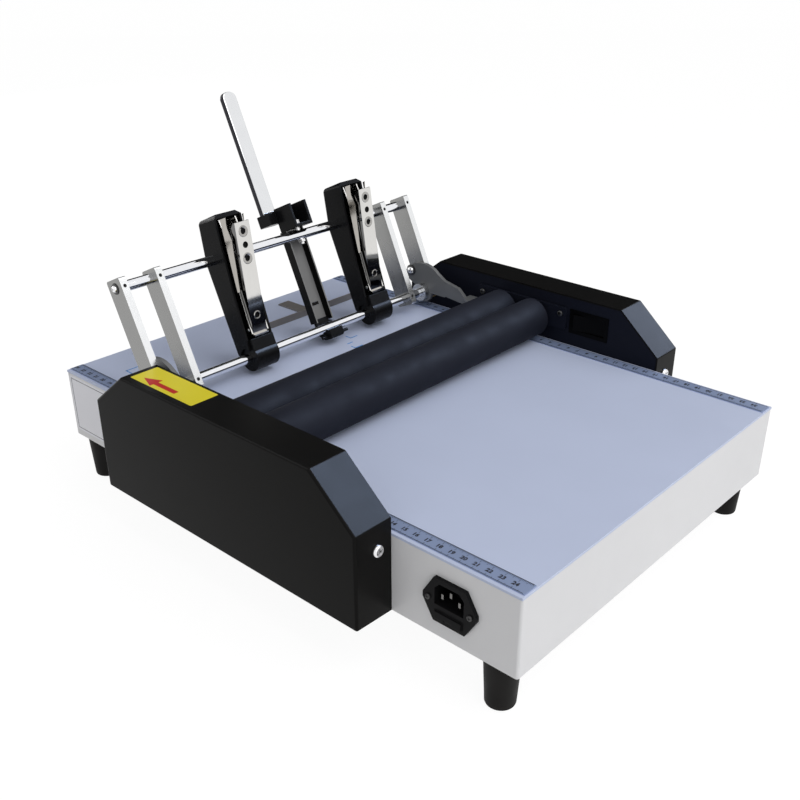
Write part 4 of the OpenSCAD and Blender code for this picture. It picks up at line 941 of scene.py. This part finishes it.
floor_white = bpy.data.materials.new("floor_white")
floor_white.use_nodes = True
tree = floor_white.node_tree
shader = tree.nodes["Principled BSDF"]
shader.inputs["Base Color"].default_value = (floor_grey, floor_grey, floor_grey, 1)
shader.inputs["Roughness"].default_value = floor_roughness
shader.inputs["Specular IOR Level"].default_value = floor_shine
glow = tree.nodes.new("ShaderNodeEmission")
glow.inputs["Strength"].default_value = floor_glow
share = tree.nodes.new("ShaderNodeMath")
share.operation = "MULTIPLY"
share.inputs[1].default_value = glow_share
tree.links.new(seen_as_background(tree), share.inputs[0])
mix = tree.nodes.new("ShaderNodeMixShader")
tree.links.new(share.outputs[0], mix.inputs["Fac"])
tree.links.new(shader.outputs["BSDF"], mix.inputs[1])
tree.links.new(glow.outputs["Emission"], mix.inputs[2])
tree.links.new(mix.outputs["Shader"], tree.nodes["Material Output"].inputs["Surface"])
floor = stage_sheet("floor", (-floor_half, -floor_half, floor_half, floor_half), floor_white)

# Strength of the surroundings from front to rear: at both ends, and at places in between.
sky_front = 1.0
sky_rear = 0.07
sky_between = ((0.5, 0.62), (0.74, 0.10))
world = bpy.data.worlds.new("studio")
bpy.context.scene.world = world
world.use_nodes = True
tree = world.node_tree
sky = tree.nodes["Background"]
sky.inputs["Color"].default_value = (1, 1, 1, 1)
split = tree.nodes.new("ShaderNodeSeparateXYZ")
tree.links.new(tree.nodes.new("ShaderNodeTexCoord").outputs["Generated"], split.inputs["Vector"])
rearward = tree.nodes.new("ShaderNodeMapRange")
rearward.inputs["From Min"].default_value = -1.0
tree.links.new(split.outputs["Y"], rearward.inputs["Value"])
dome = tree.nodes.new("ShaderNodeValToRGB")
for place, strength in sky_between:
    dome.color_ramp.elements.new(place).color = (strength, strength, strength, 1)
dome.color_ramp.elements[0].color = (sky_front, sky_front, sky_front, 1)
dome.color_ramp.elements[-1].color = (sky_rear, sky_rear, sky_rear, 1)
tree.links.new(rearward.outputs["Result"], dome.inputs["Fac"])
level = tree.nodes.new("ShaderNodeMapRange")
level.inputs["To Max"].default_value = 1.0
tree.links.new(seen_as_background(tree), level.inputs["Value"])
tree.links.new(dome.outputs["Color"], level.inputs["To Min"])
tree.links.new(level.outputs["Result"], sky.inputs["Strength"])

card_corners = (-1.9, -1.7, 1.9, 1.2)
card_place = Vector((2.0, 2.1, 1.5))
card_target = Vector((0, 0, 0.1))
card_colour = (0.02, 0.02, 0.022)
card_black = bpy.data.materials.new("card_black")
card_black.use_nodes = True
shader = card_black.node_tree.nodes["Principled BSDF"]
shader.inputs["Base Color"].default_value = (*card_colour, 1)
shader.inputs["Specular IOR Level"].default_value = 0.0
dark_card = stage_sheet("dark_card", card_corners, card_black)
dark_card.location = card_place
dark_card.rotation_euler = (card_target - card_place).to_track_quat("Z", "Y").to_euler()
dark_card.visible_camera = False
dark_card.visible_diffuse = False
dark_card.visible_shadow = False


def soft_lamp(name, place, target, size, watts, colour=(1, 1, 1)):
    """A large soft lamp, aimed at a point of the machine."""
    lamp = bpy.data.lights.new(name, "AREA")
    lamp.shape = "RECTANGLE"
    lamp.size, lamp.size_y = size
    lamp.energy = watts
    lamp.color = colour
    holder = bpy.data.objects.new(name, lamp)
    holder.location = place
    holder.rotation_euler = (Vector(target) - Vector(place)).to_track_quat("-Z", "Y").to_euler()
    bpy.context.scene.collection.objects.link(holder)
    return holder


# These lamps draw the highlights of the black pieces and light nothing else.
black_pieces = bpy.data.collections.new("black_pieces")
for name in ("left_cover", "right_cover", "front_roller_sleeve", "rear_roller_sleeve",
             "left_stapler_shell", "right_stapler_shell", "left_stapler_nose", "right_stapler_nose",
             "handle_saddle", "handle_bracket"):
    black_pieces.objects.link(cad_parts[name])
highlight_target = (0, 0, 0.15)
highlight_lamps = (
    ("left_slope_lamp", (1.27, -1.13, 1.87), 0.9, 105, (0.55, 0.70, 1.0)),
    ("right_slope_lamp", (2.24, -0.83, 1.35), 0.9, 44, (0.62, 0.74, 1.0)),
    ("bend_lamp", (-1.3, 1.7, 1.9), 0.8, 10, (1, 1, 1)),
)
for name, place, width, watts, colour in highlight_lamps:
    lamp_holder = soft_lamp(name, place, highlight_target, (width, width), watts, colour)
    lamp_holder.visible_diffuse = False
    lamp_holder.light_linking.receiver_collection = black_pieces

soft_lamp("front_top", place=(0.1, -0.75, 1.25), target=(0, -0.1, 0.1), size=(1.0, 0.8), watts=6.3)
soft_lamp("front_left", place=(-0.8, -2.1, 0.95), target=(0, 0, 0.15), size=(1.2, 1.0), watts=3)
soft_lamp("left_fill", place=(-2.2, 0.4, 1.1), target=(0, 0, 0.1), size=(1.2, 1.0), watts=2)
soft_lamp("rear_low", place=(0, 2.2, 0.35), target=(0, 0.25, 0.07), size=(1.4, 0.4), watts=9)


# Camera, at the photograph's own place and angle. It was fitted to the corners
# of the base, and its lens is shifted as a cropped picture's is. Sizes in metres.
eye = Vector((-0.575233, -0.515174, base_z + 0.425434))
right = Vector((0.671795, -0.740730, -0.003221))
up = Vector((0.346305, 0.310227, 0.885343))
back = Vector((-0.654801, -0.595885, 0.464927))
camera_data = bpy.data.cameras.new("camera")
camera_data.sensor_width = 36.0
camera_data.lens = 45.132
camera_data.shift_x = 0.00264
camera_data.shift_y = 0.0400
camera_data.clip_start = 0.01
camera_data.clip_end = 50.0
camera = bpy.data.objects.new("camera", camera_data)
camera.matrix_world = Matrix.Translation(eye) @ Matrix((right, up, back)).transposed().to_4x4()
bpy.context.scene.collection.objects.link(camera)
bpy.context.scene.camera = camera
bpy.context.scene.view_settings.view_transform = "Standard"
